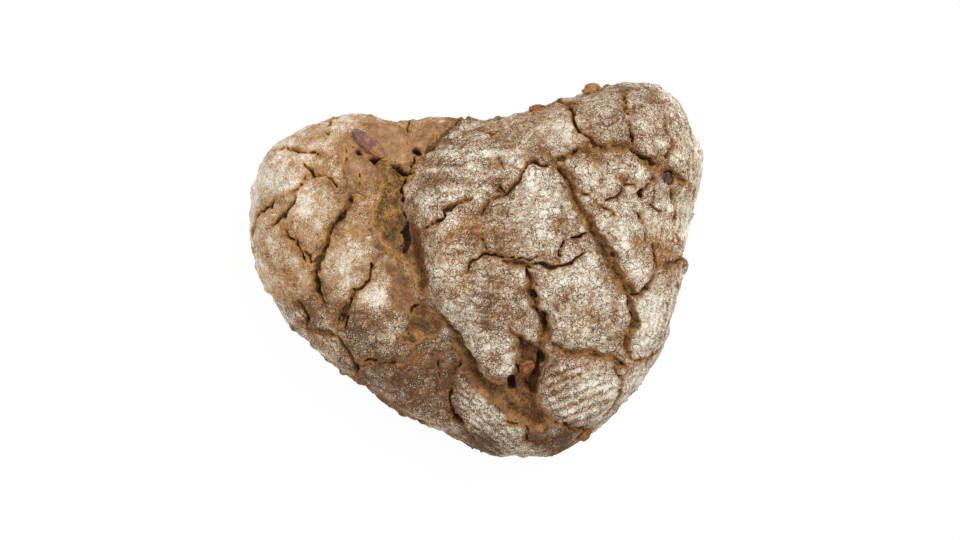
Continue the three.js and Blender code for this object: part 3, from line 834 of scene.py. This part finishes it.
def into_outline(points, outline):
    """How far each point lies inside a closed outline of the plan, in mm, negative outside."""
    corners = np.array(outline, dtype=float)
    result = np.full(len(points), -TEAR_REACH)
    low, high = corners.min(axis=0) - TEAR_REACH, corners.max(axis=0) + TEAR_REACH
    near = np.flatnonzero(np.all((points[:, :2] > low) & (points[:, :2] < high), axis=1))
    plan = points[near, :2]
    gap = np.full(len(plan), TEAR_REACH)
    within = np.zeros(len(plan), dtype=bool)
    for start, end in zip(corners, np.roll(corners, -1, axis=0)):
        run = end - start
        share = np.clip((plan - start) @ run / (run @ run), 0, 1)
        gap = np.minimum(gap, np.linalg.norm(plan - start - share[:, None] * run, axis=1))
        crosses = (start[1] > plan[:, 1]) != (end[1] > plan[:, 1])
        rise = end[1] - start[1] or 1e-9
        within ^= crosses & (plan[:, 0] < start[0] + (plan[:, 1] - start[1]) * run[0] / rise)
    result[near] = np.where(within, gap, -gap)
    return result


class Crust:
    """How the crust is pushed out or torn at each point of the form, and how it is coloured."""

    def __init__(self, form, settings):
        self.pieces = tear_pieces(form)
        self.wide_pieces = [piece for piece in self.pieces if max(piece[2:4]) > WIDE_TEAR]
        self.deep_pieces = [piece for piece in self.pieces if piece[4] >= DEEP_TEAR]
        self.blister_spots = [(form.on_top(x, y), radius, rise) for x, y, radius, rise in BLISTERS]
        self.swell_spots = [
            (form.on_side(math.degrees(math.atan2(y, x)), SWELL_HEIGHT), radius, amount)
            for x, y, radius, amount in SWELLS
        ]
        self.grain = Grain(settings.seed)
        self.deepen = settings.tear_depth

    def survey(self, points):
        """Fields over the form's points, in mm, from which the relief and the colours are made."""
        grain = self.grain
        ragged = points + grain.vector(points, 8) * 1.2 + grain.vector(points, 4.3) * 1.1
        ragged += grain.vector(points, 2.1) * 0.7
        inside, width, depth = into_tears(ragged, self.pieces)
        pinch = grain(points, 6.5, 5.1) * 0.6 + grain(points, 2.1, 8.3) * 0.4
        inside += pinch * (0.1 + 0.14 * width) + 0.2 * (1 - smoothstep(width, 1.2, 2.4))
        astray = points + grain.vector(points, 10, 9.7) * 2.4 + grain.vector(points, 2.4) * 0.8
        fissure = into_tears(astray, self.wide_pieces, FISSURE_WIDTH)[0] + pinch * 0.7
        deep, _, depth_there = into_tears(ragged, self.deep_pieces)
        deep += pinch * 0.5
        top = smoothstep(points[:, 2], *TOP_FROM)
        hollow_depth = np.zeros(len(points))
        hollow_in = np.full(len(points), -TEAR_REACH)
        for hollow in HOLLOWS:
            within = into_outline(ragged, hollow.outline)
            hollow_depth = np.maximum(hollow_depth, hollow.depth * smoothstep(within, 0, hollow.wall) * top)
            hollow_in = np.maximum(hollow_in, np.where(top > 0.5, within, -TEAR_REACH))
        opened = np.maximum(inside, hollow_in)
        cut = np.maximum(depth * smoothstep(inside, *TEAR_WALL), depth_there * smoothstep(deep, *TEAR_WALL))
        cut *= self.deepen * (1 + grain(points, 5, 2.9) * 0.25)
        crack = smoothstep(fissure, -0.2, 0.7) * smoothstep(opened, 0, 1)
        return {
            "tear": inside,
            "width": width,
            "opened": opened,
            "top": top,
            "cut": cut,
            # Inside a deep tear, which the finish paints dark as shade.
            "core": smoothstep(deep, -0.3, 0.5),
            "hollow": hollow_depth,
            "fissure": crack,
            "soft": smoothstep(hollow_in, -4, -1.5) * (hollow_in >= inside - 0.5),
        }

    def relief(self, points, fields):
        """How far each point moves out along the form's normal, in mm."""
        grain = self.grain
        opened = fields["opened"]
        crumb = smoothstep(opened, -0.1, 1.0)
        clumps = grain(points, 4.2) * 0.9 + grain(points, 1.9) * 0.9 + grain(points, 1) * 0.5
        lumps = grain(points, 26) * 1.4 + grain(points, 11) * 0.8 + grain(points, 5) * 0.55
        side = 1 - smoothstep(points[:, 2], 30, 52)
        knobs = np.maximum(grain(points, 6, 7.7) - 0.3, 0) * 2.2
        lumps += side * (grain(points, 14, 4.4) * 1.2 + grain(points, 6, 2.2) * 0.4 - 0.6 + knobs)
        skin = grain(points, 2.6) * 0.3 + grain(points, 1.4) * 0.2
        droop = 0.8 + 0.8 * grain(points, 13, 6.1)
        rounding = -np.maximum(droop, 0) * 0.55 * np.exp(np.minimum(opened, 0) / 1.7)
        lip = np.maximum(grain(points, 3, 1.7), 0) * 1.0 * np.exp(-(((opened + 0.8) / 0.7) ** 2))
        base = smoothstep(points[:, 2], 0.5, 9)
        raised = self.ribs(points) * 0.4 * fields["top"] + self.blisters(points)
        move = PLUMPNESS + lumps + rounding + (skin + lip + raised) * (1 - crumb) + self.swells(points)
        move += self.plates(points, fields) * (1 - crumb)
        return (move - fields["cut"] - fields["hollow"] - 1.4 * fields["fissure"] + clumps * crumb) * base

    def plates(self, points, fields):
        """How high the plates of crust stand over the crumb between them."""
        rise = np.zeros(len(points))
        for plate in PLATES:
            dome = smoothstep(into_outline(points, plate.outline), -1, plate.wall)
            rise = np.maximum(rise, dome * plate.lift)
        return rise * fields["top"]

    def ridges(self, points, fields):
        """The fine ridges of the plates: how strong they are, and their turns per mm along X and Y."""
        found = np.zeros((3, len(points)))
        for plate in PLATES:
            strength = plate.ridge * smoothstep(into_outline(points, plate.outline), 0, 4) * fields["top"]
            turn = math.radians(plate.ridge_turn)
            here = into_outline(points, plate.outline) > -3
            found[0] = np.maximum(found[0], strength)
            found[1, here] = -math.sin(turn) / plate.ridge_gap
            found[2, here] = math.cos(turn) / plate.ridge_gap
        return found

    def ribs(self, points):
        """The print of the basket's coils: above 0 on a rib and below 0 between two."""
        bend = self.grain(points, 30) * 2 + self.grain(points, 9) * 0.8
        shape = np.zeros(len(points))
        for place, amount in RIBS:
            shape += amount * np.exp(-(((points[:, 1] + bend - place) / RIB_HALF_WIDTH) ** 2))
        return shape * self.ribbed(points)

    @staticmethod
    def ribbed(points):
        """1 where the coils of the basket printed ribs."""
        return smoothstep(points[:, 0], -34, -24) * (1 - smoothstep(points[:, 0], 10, 34))

    def blisters(self, points):
        height = np.zeros(len(points))
        for spot, radius, rise in self.blister_spots:
            gap = np.linalg.norm(points - spot, axis=1) / radius
            height = np.maximum(height, rise * np.sqrt(np.clip(1 - gap**2, 0, 1)))
        return height

    def swells(self, points):
        height = np.zeros(len(points))
        for spot, radius, amount in self.swell_spots:
            height += amount * np.exp(-(np.linalg.norm(points - spot, axis=1) / radius) ** 2)
        return height

    def dusting(self, points, fields):
        """How much flour lies at each point, from 0 to 1, with painted light on the left and right flanks.
        """
        grain = self.grain
        amount = self.clouded(points, FLOUR_CLOUDS, EVEN_DUSTING)
        amount += self.ribs(points) * fields["top"]
        amount += grain(points, 15) * 0.12 + grain(points, 6) * 0.15 + grain(points, 3) * 0.08
        # Painted light: more flour on the lower left and right flanks whitens them as if lit by the pale
        # room round the loaf.
        amount += 0.32 * (1 - smoothstep(points[:, 2], 30, 56)) * smoothstep(np.abs(points[:, 0]), 45, 112)
        amount -= 0.2 * np.exp(np.minimum(fields["opened"], 0) / 1.2)
        amount *= 1 - self.patched(points, BARE_PATCHES, BARE_BORDER) * fields["top"] * 0.8
        return np.clip(amount * smoothstep(points[:, 2], -4, 14), 0, 1)

    @staticmethod
    def clouded(points, clouds, base):
        """The base amount with the soft round clouds added to it."""
        total = np.full(len(points), base, dtype=float)
        for x, y, radius, amount in clouds:
            gap = np.hypot(points[:, 0] - x, points[:, 1] - y) / radius
            total += amount * np.exp(-(gap**2))
        return total

    def warmed(self, points):
        """How much warmer than plain crust it baked at each point, from -1 to 1."""
        return np.clip(self.clouded(points, WARM_CLOUDS, 0), -1, 1)

    def patched(self, points, patches, soft):
        """1 inside the patches, with a ragged edge that is soft mm wide."""
        share = np.zeros(len(points))
        ragged = points + self.grain.vector(points, 7) * 2
        for patch in patches:
            share = np.maximum(share, smoothstep(into_outline(ragged, patch), -soft, soft))
        return share


def refine(mesh, crust, settings):
    """Splits the form's long edges until the relief has the points that it needs."""
    for _ in range(REFINING_ROUNDS):
        points = read_points(mesh)
        fields = crust.survey(points)
        moved = points + read_normals(mesh) * crust.relief(points, fields)[:, None]
        ends = np.empty(len(mesh.edges) * 2, dtype=int)
        mesh.edges.foreach_get("vertices", ends)
        ends = ends.reshape(-1, 2)
        lengths = np.linalg.norm(moved[ends[:, 0]] - moved[ends[:, 1]], axis=1)
        torn = smoothstep(fields["opened"], -1.6, -0.4)
        plate = settings.plate_edge / MM
        aim = plate + (settings.fine_edge / MM - plate) * torn
        aim = np.where(points[:, 2] < UNDERSIDE, settings.base_edge / MM, aim)
        long_edges = np.flatnonzero(lengths > aim[ends].min(axis=1))
        if not len(long_edges):
            break
        bm = bmesh.new()
        bm.from_mesh(mesh)
        bm.edges.ensure_lookup_table()
        bmesh.ops.subdivide_edges(bm, edges=[bm.edges[i] for i in long_edges], cuts=1, use_grid_fill=True)
        bmesh.ops.triangulate(bm, faces=[face for face in bm.faces if len(face.verts) > 3])
        calm(bm, 0.3)
        bm.to_mesh(mesh)
        bm.free()


def drop_folded_pairs(mesh):
    """Takes out the pairs of triangles that thinning has folded flat onto each other."""
    bm = bmesh.new()
    bm.from_mesh(mesh)
    on_corners = {}
    for face in bm.faces:
        on_corners.setdefault(frozenset(face.verts), []).append(face)
    folded = [face for faces in on_corners.values() if len(faces) > 1 for face in faces]
    bmesh.ops.delete(bm, geom=folded, context="FACES")
    bm.to_mesh(mesh)
    bm.free()


def thin_out(piece, most):
    """Merges triangles where the surface is plain, until the piece has no more than that many."""
    thinner = piece.modifiers.new("thin out", "DECIMATE")
    thinner.ratio = min(1.0, most / len(piece.data.polygons))
    evaluated = piece.evaluated_get(bpy.context.evaluated_depsgraph_get())
    thinned = bpy.data.meshes.new_from_object(evaluated)
    drop_folded_pairs(thinned)
    piece.modifiers.clear()
    old = piece.data
    piece.data = thinned
    bpy.data.meshes.remove(old)
    thinned.name = piece.name


def store(mesh, name, values):
    layer = mesh.attributes.new(name, "FLOAT", "POINT")
    layer.data.foreach_set("value", values.astype(np.float32))


def make_piece(name, bm, material):
    """A finished piece that rides on the loaf's body and stands for the CAD node of its name."""
    mesh = bpy.data.meshes.new(name)
    bm.to_mesh(mesh)
    bm.free()
    piece = bpy.data.objects.new(f"{name}_look", mesh)
    bpy.context.scene.collection.objects.link(piece)
    mesh.materials.append(material)
    mesh.shade_smooth()
    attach(piece, "root")
    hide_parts(name)
    return piece


# ---- Finishes ----

SKIN_RELIEF = 0.6 * MM  # how deep the finest relief of a skin is


def crust_finish(settings):
    """Floured rye crust, with torn crumb where the attributes say that it is open, and painted shade deep
    in the tears.
    """
    shop = Workshop("rye crust", {"Specular IOR Level": 0.2})
    # The flour attribute also holds painted light on the left and right flanks.
    flour, bare, tan, seared, warm = map(shop.attribute, ("flour", "bare", "tan", "seared", "warm"))
    inside, narrow, sunk, core = map(shop.attribute, ("inside", "narrow", "sunk", "core"))
    fissure, soft, ribbed = map(shop.attribute, ("fissure", "soft", "ribbed"))
    ridge, ridge_x, ridge_y = map(shop.attribute, ("ridge", "ridge_x", "ridge_y"))
    tone = {
        name: tuple(getattr(settings, name))
        for name in settings.bl_rna.properties.keys()
        if getattr(settings.bl_rna.properties[name], "subtype", "") == "COLOR"
    }

    broad = shop.grain(15 * MM, detail=2)
    patches = shop.grain(6 * MM, detail=3, shift=0.21)
    mottle = shop.grain(2.3 * MM, detail=4, roughness=0.65, distortion=0.5, shift=0.37)
    speckle = shop.grain(0.62 * MM, detail=2, roughness=0.75, shift=0.53)
    busy = shop.grain(6 * MM, detail=2, shift=0.71).ramp(-0.1, 0.16) * (2.2 - tan * 1.3) + 0.4
    wide_net = shop.cells(7.5 * MM, shop.warped(5 * MM, 2.8 * MM), "DISTANCE_TO_EDGE")
    fine_net = shop.cells(3 * MM, shop.warped(2.6 * MM, 1.5 * MM), "DISTANCE_TO_EDGE")
    hairline = (1 - wide_net.ramp(0.01, 0.06)) * patches.ramp(-0.07, 0.05) * (1 - tan * 0.6)
    fine_hairs = (1 - fine_net.ramp(0.02, 0.12)) * (broad + mottle * 0.4).ramp(0.0, 0.1)
    hairline = hairline.most(fine_hairs * (0.75 - tan * 0.5))
    streaks = shop.grain(2.2 * MM, detail=3, roughness=0.6, shift=0.91, stretch=4) * ribbed
    clots = 1 - shop.cells(1.7 * MM, shop.warped(2 * MM, 1.3 * MM), "F1").ramp(0.14, 0.34)

    phase = (shop.along("X") * ridge_x + shop.along("Y") * ridge_y) * (2 * math.pi / MM)
    print_of_cane = (phase + patches * 6 + mottle * 1.6).sine() * ridge

    grit = speckle * 1.04 + speckle.ramp(0.08, 0.17) * 0.48 - (speckle * -1).ramp(0.08, 0.15) * 0.62
    mixed = patches * 1.3 + mottle * 1.35 + grit * busy + streaks * 0.9
    level = flour + mixed * (0.55 + flour * 0.9).least(1) + print_of_cane * 0.34
    level = level + clots * flour.ramp(0.3, 0.7) * (0.3 - tan * 0.15) - hairline * 0.44
    level = level - warm.most(0) * 0.08
    dusted = shop.colours(level, (
        (0.0, tone["dark_crust"]), (0.25, tone["crust"]), (0.47, tone["mid_crust"]),
        (0.68, tone["pale_crust"]), (0.98, tone["flour"]),
    ))
    tanned = shop.colours(level, (
        (0.0, tone["dark_tan"]), (0.26, tone["tan"]), (0.5, tone["mid_tan"]),
        (0.74, tone["pale_tan"]), (1.0, tone["flour"]),
    ))
    warmth = (broad + mottle * 0.8).ramp(-0.02, 0.16) * (1 - level.ramp(0.4, 0.8))
    warmth = warmth * (0.24 + tan * 0.1 + warm * 0.24)
    rosy = (tan + tan * warm.least(0) * 0.8).most(warm)
    plain = shop.blend(warmth, shop.blend(rosy, dusted, tanned), tone["toasted"])
    bare_skin = shop.colours(patches + mottle * 0.7 + speckle * 0.9 + 0.5, (
        (0.15, tone["dark_tan"]), (0.5, tone["bare"]), (0.85, tone["mid_tan"]),
    ))
    skin = shop.blend(bare * (1 - level.ramp(0.75, 1.0)), plain, bare_skin)

    gap = inside + mottle * (1.5 + soft * 2) + speckle * 1.3 + patches * soft * 3
    crumb = gap.ramp(-0.05 - soft * 0.9, 0.25 + soft * 0.9)
    rim_tone = shop.blend(tan, tone["toasted"], tone["golden"])
    fringe = gap.ramp(-0.8, -0.1) * (patches * 1.4 + mottle + speckle).ramp(-0.1, 0.12)
    edged = shop.blend(fringe * (0.85 - soft * 0.5), skin, rim_tone)

    veins = shop.grain(4.4 * MM, detail=3, distortion=1.1, shift=0.83, stretch=0.6)
    webs = (1 - shop.magnitude(veins).ramp(0.0, 0.04)) * (patches * 0.8 + mottle).ramp(-0.1, 0.08)
    # Partly painted shade: the crumb darkens from its pale lips towards dark crumb the further it lies
    # inside a tear and the deeper it is sunk, with a random tone on top.
    depth = gap.ramp(0.1, 2.6) * 0.46 + sunk * 0.14 + patches * 2 + mottle * 2.2 + speckle * 3.2 + 0.02
    torn = shop.colours(depth, (
        (0.0, tone["pale_crumb"]), (0.35, tone["crumb"]), (0.7, tone["deep_crumb"]),
        (1.0, tone["dark_crumb"]),
    ))
    torn = shop.blend((broad + patches).ramp(-0.04, 0.16) * 0.45, torn, tone["grey_crumb"])
    inner_rim = (1 - gap.ramp(0.1, 0.7)) * (mottle - patches * 0.8).ramp(-0.06, 0.12) * (1 - soft * 0.6)
    torn = shop.blend(webs.most(inner_rim) * 0.7, torn, rim_tone)
    # Painted shade: dark spots on the crumb well inside a tear, for the shade in its small holes.
    shaded_pits = (patches * 0.5 - mottle - speckle * 0.4).ramp(0.06, 0.14) * gap.ramp(0.3, 1.0)
    # Painted shade: narrow tears, the fissure along the floor of wide ones and the inside of deep ones are
    # painted dark crumb for the shade that falls in them.
    tear_shade = narrow * (gap + mottle * 0.8 + patches * 2).ramp(0.1, 0.6)
    tear_shade = tear_shade.most(fissure * (mottle + speckle).ramp(-0.16, 0.08) * 0.75)
    tear_shade = tear_shade.most((core + mottle + speckle * 0.5).ramp(0.35, 0.75))
    torn = shop.blend(tear_shade.most(shaded_pits * 0.65) * 0.9, torn, tone["dark_crumb"])
    colour = shop.blend(crumb, edged, torn)
    seared_tone = shop.blend((mottle + speckle).ramp(-0.15, 0.15), tone["dark_crumb"], tone["seared"])
    seared_tone = shop.blend(webs * 0.6, seared_tone, tone["toasted"])
    colour = shop.blend(seared * (0.85 - webs * 0.3), colour, seared_tone)

    height = mottle * 0.8 + speckle * busy * 0.5 + print_of_cane * 0.4 - hairline * 0.7
    shop.feed(
        Base_Color=colour,
        Roughness=0.92 - bare * 0.3 * (1 - crumb),
        Normal=shop.bump(height, SKIN_RELIEF, strength=0.85),
    )
    return shop.material


BLUSH_RANGE = (-63 * MM, -53 * MM)  # from where to where along X the almond's skin turns warm
NUT_BROWN = linear(186, 126, 66)
NUT_DUST = linear(205, 180, 148)


def nut_finish(name, colour, blush=None, darkest=0.36):
    """A roasted nut's skin: streaked and slightly shiny, with a blush towards the right if one is given."""
    shop = Workshop(name, {"Specular IOR Level": 0.35})
    streaks = shop.grain(1.3 * MM, detail=5, roughness=0.65, distortion=0.6)
    blotches = shop.grain(4.6 * MM, detail=3, shift=0.3)
    dark = tuple(channel * darkest for channel in colour)
    main = tuple(colour)
    if blush is not None:
        blushed = (shop.along("X") + blotches * 8 * MM).ramp(*BLUSH_RANGE)
        main = shop.blend(blushed, main, tuple(blush))
    shade = shop.blend((streaks * 1.1 + blotches * 0.7).ramp(-0.16, 0.06), dark, main)
    warm = shop.blend((blotches * 1.2 - streaks * 0.5).ramp(0.02, 0.2) * 0.6, shade, NUT_BROWN)
    dusty = shop.blend((blotches * 0.5 + streaks).ramp(0.08, 0.22) * 0.22, warm, NUT_DUST)
    shop.feed(
        Base_Color=dusty,
        Roughness=0.6 - streaks * 0.3,
        Normal=shop.bump(streaks, SKIN_RELIEF, strength=0.7),
    )
    return shop.material


# ---- The operators ----


class RYE_OT_bake_loaf(bpy.types.Operator):
    """Shape the loaf, tear its crust and dust it with flour"""

    bl_idname = "rye.bake_loaf"
    bl_label = "Bake Loaf"

    def execute(self, context):
        settings = context.scene.rye_loaf
        form = Form()
        crust = Crust(form, settings)
        piece = make_piece(LOAF, form.start_mesh(), crust_finish(settings))
        mesh = piece.data
        refine(mesh, crust, settings)
        points = read_points(mesh)
        fields = crust.survey(points)
        moved = points + read_normals(mesh) * crust.relief(points, fields)[:, None]
        moved[:, 2] = np.maximum(moved[:, 2], 0)
        # The narrow tears, whose crumb the finish paints dark as shade.
        narrow = (1 - smoothstep(fields["width"], 2.8, 4.2)) * smoothstep(fields["tear"], -0.1, 0.4)
        ridge, ridge_x, ridge_y = crust.ridges(points, fields)
        seared = smoothstep(crust.blisters(points), 0, 0.6) * BLISTER_SEARED
        for strength, patch in SEARED_PATCHES:
            here = crust.patched(points, (patch,), SEARED_BORDER) * fields["top"]
            seared = np.maximum(seared, here * strength)
        for name, values in (
            ("flour", crust.dusting(points, fields)),
            ("inside", np.clip(fields["opened"], -4, 4)),
            ("narrow", narrow),
            ("bare", crust.patched(points, BARE_PATCHES, BARE_BORDER) * fields["top"]),
            ("tan", crust.patched(points, TAN_PATCHES, TAN_BORDER)),
            ("seared", seared),
            # How far a place is sunk, which darkens the crumb of the tears as painted shade.
            ("sunk", np.clip((fields["cut"] + fields["hollow"]) / DEEPEST, 0, 1)),
            ("fissure", fields["fissure"]),
            ("soft", fields["soft"]),
            ("core", fields["core"]),
            ("warm", crust.warmed(points)),
            ("ridge", ridge),
            ("ridge_x", ridge_x),
            ("ridge_y", ridge_y),
            ("ribbed", crust.ribbed(points) * fields["top"]),
        ):
            store(mesh, name, values)
        write_points(mesh, moved)
        mesh.shade_smooth()
        thin_out(piece, settings.most_triangles)
        return {"FINISHED"}


def axes_of(node):
    """A CAD nut's middle, its three axes, longest first, and its half sizes, in mm."""
    points = read_points(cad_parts[node].data)
    middle = (points.min(axis=0) + points.max(axis=0)) / 2
    axes = np.linalg.svd(points - points.mean(axis=0), full_matrices=False)[2]
    if np.linalg.det(axes) < 0:
        axes[2] *= -1
    spread = (points - middle) @ axes.T
    centre = middle + ((spread.max(axis=0) + spread.min(axis=0)) / 2) @ axes
    return centre, axes, (spread.max(axis=0) - spread.min(axis=0)) / 2


ALMOND_SEED = 3
FIRST_BIT_SEED = 11
NUT_DETAIL = 5
NUT_TAPER = 0.16  # how much thinner a nut's pointed end is
NUT_BLUNTNESS = 2.7  # 2 would leave the nut's outline an oval


def nut_shape(node, wrinkle, ridges, seed, lumpy=0.0, girth=1.0):
    """A ball shaped into a nut that lies where the CAD nut does, with ridges along its length."""
    centre, axes, half = axes_of(node)
    bm = bmesh.new()
    bmesh.ops.create_icosphere(bm, subdivisions=NUT_DETAIL, radius=1)
    points = np.array([vert.co for vert in bm.verts])
    grain = Grain(seed)
    around = np.arctan2(points[:, 2], points[:, 1])
    reach = np.clip(np.abs(points[:, 0]), 0, 0.999)
    blunt = np.sqrt((1 - reach**NUT_BLUNTNESS) / (1 - reach**2)) * girth
    point = blunt * (1 - NUT_TAPER * smoothstep(points[:, 0], 0.2, 1))
    waves = np.sin(around * ridges + grain(points, 0.7) * 2.2) * (1 - points[:, 0] ** 2)
    swell = 1 + (wrinkle / MM) * waves / half[1]
    swell = swell + lumpy * grain(points, 0.8) + lumpy * 0.6 * grain(points, 0.35)
    shaped = points * half * np.stack([np.ones(len(points)), point, point], axis=1) * swell[:, None]
    for vert, place in zip(bm.verts, shaped @ axes + centre):
        vert.co = Vector(place) * MM
    bm.normal_update()
    bmesh.ops.recalc_face_normals(bm, faces=bm.faces)
    return bm


class RYE_OT_set_almond(bpy.types.Operator):
    """Set the whole almond in its pocket"""

    bl_idname = "rye.set_almond"
    bl_label = "Set Almond"

    def execute(self, context):
        settings = context.scene.rye_nuts
        shape = nut_shape(ALMOND, settings.wrinkle * 0.8, 9, seed=ALMOND_SEED, lumpy=0.08, girth=0.9)
        skin = nut_finish("almond skin", settings.almond_skin, settings.almond_blush, 0.55)
        make_piece(ALMOND, shape, skin)
        return {"FINISHED"}


class RYE_OT_set_nut_bits(bpy.types.Operator):
    """Set the bits of nut in the crust"""

    bl_idname = "rye.set_nut_bits"
    bl_label = "Set Nut Bits"

    def execute(self, context):
        settings = context.scene.rye_nuts
        tan = nut_finish("tan nut", settings.nut_tan)
        orange = nut_finish("orange nut", settings.nut_orange)
        dark = nut_finish("dark nut", settings.nut_dark)
        finishes = (orange, tan, dark, orange, orange)
        for seed, (node, finish) in enumerate(zip(NUT_BITS, finishes), start=FIRST_BIT_SEED):
            shape = nut_shape(node, settings.wrinkle * 1.2, 7, seed, lumpy=0.24, girth=0.94)
            make_piece(node, shape, finish)
        return {"FINISHED"}


FLOOR_SHADE = (0.08, 0.08, 0.08, 1)  # what the floor gives back of the lamps' light
KEY_LAMP = ((0.85, 0.75, 1.35), 0.9)  # where it hangs and how wide it is, in metres
FILL_LAMP = ((-1.1, -0.6, 1.0), 1.2)
WAIST = 30 * MM  # the height at which the view's width is measured
CAMERA_PLACE = (1.9 * MM, -0.3 * MM)
CLIP_END = 20


def add_lamp(name, place, size, power):
    lamp = bpy.data.lights.new(name, "AREA")
    lamp.shape = "DISK"
    lamp.size = size
    lamp.energy = power
    holder = bpy.data.objects.new(name, lamp)
    holder.location = place
    holder.rotation_euler = (-Vector(place)).to_track_quat("-Z", "Y").to_euler()
    bpy.context.scene.collection.objects.link(holder)


class RYE_OT_lay_stage(bpy.types.Operator):
    """Lay the pale floor, hang the lights and set the camera"""

    bl_idname = "rye.lay_stage"
    bl_label = "Lay Stage"

    def execute(self, context):
        settings = context.scene.rye_stage
        bm = bmesh.new()
        bmesh.ops.create_grid(bm, x_segments=1, y_segments=1, size=settings.floor_half)
        mesh = bpy.data.meshes.new("floor")
        bm.to_mesh(mesh)
        bm.free()
        floor = bpy.data.objects.new("floor", mesh)
        context.scene.collection.objects.link(floor)
        shop = Workshop("pale floor", {
            "Base Color": FLOOR_SHADE, "Roughness": 1, "Specular IOR Level": 0,
            "Emission Color": (*settings.floor_colour, 1), "Emission Strength": 1,
        })
        mesh.materials.append(shop.material)

        add_lamp("key", *KEY_LAMP, settings.key_power)
        add_lamp("fill", *FILL_LAMP, settings.fill_power)
        world = bpy.data.worlds.new("room")
        world.use_nodes = True
        background = world.node_tree.nodes["Background"]
        background.inputs["Color"].default_value = (1, 1, 1, 1)
        background.inputs["Strength"].default_value = settings.room_light
        context.scene.world = world
        context.scene.view_settings.view_transform = "Standard"

        camera = bpy.data.cameras.new("camera")
        camera.lens = camera.sensor_width * (settings.camera_height - WAIST) / settings.view_width
        camera.clip_end = CLIP_END
        holder = bpy.data.objects.new("camera", camera)
        holder.location = (*CAMERA_PLACE, settings.camera_height)
        context.scene.collection.objects.link(holder)
        context.scene.camera = holder
        return {"FINISHED"}


class RYE_PT_loaf(bpy.types.Panel):
    """The steps and the settings of the loaf"""

    bl_idname = "RYE_PT_loaf"
    bl_label = "Rye Loaf"
    bl_space_type = "VIEW_3D"
    bl_region_type = "UI"
    bl_category = "Rye Loaf"

    def draw(self, context):
        for settings, steps in PANEL_ROWS:
            box = self.layout.box()
            group = getattr(context.scene, settings)
            for name in group.bl_rna.properties.keys():
                if name not in {"rna_type", "name"}:
                    box.prop(group, name)
            for step in steps:
                box.operator(step.bl_idname)


STEPS = (RYE_OT_lay_stage, RYE_OT_bake_loaf, RYE_OT_set_almond, RYE_OT_set_nut_bits)
PANEL_ROWS = (
    ("rye_loaf", (RYE_OT_bake_loaf,)),
    ("rye_nuts", (RYE_OT_set_almond, RYE_OT_set_nut_bits)),
    ("rye_stage", (RYE_OT_lay_stage,)),
)
GROUPS = (("rye_loaf", RyeLoafSettings), ("rye_nuts", RyeNutSettings), ("rye_stage", RyeStageSettings))


def register():
    for name, group in GROUPS:
        bpy.utils.register_class(group)
        setattr(bpy.types.Scene, name, PointerProperty(type=group))
    for step in (*STEPS, RYE_PT_loaf):
        bpy.utils.register_class(step)


def unregister():
    for step in (*STEPS, RYE_PT_loaf):
        bpy.utils.unregister_class(step)
    for name, group in GROUPS:
        delattr(bpy.types.Scene, name)
        bpy.utils.unregister_class(group)


def main():
    register()
    for step in STEPS:
        group, action = step.bl_idname.split(".")
        getattr(getattr(bpy.ops, group), action)()
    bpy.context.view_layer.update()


if __name__ == "__main__":
    main()
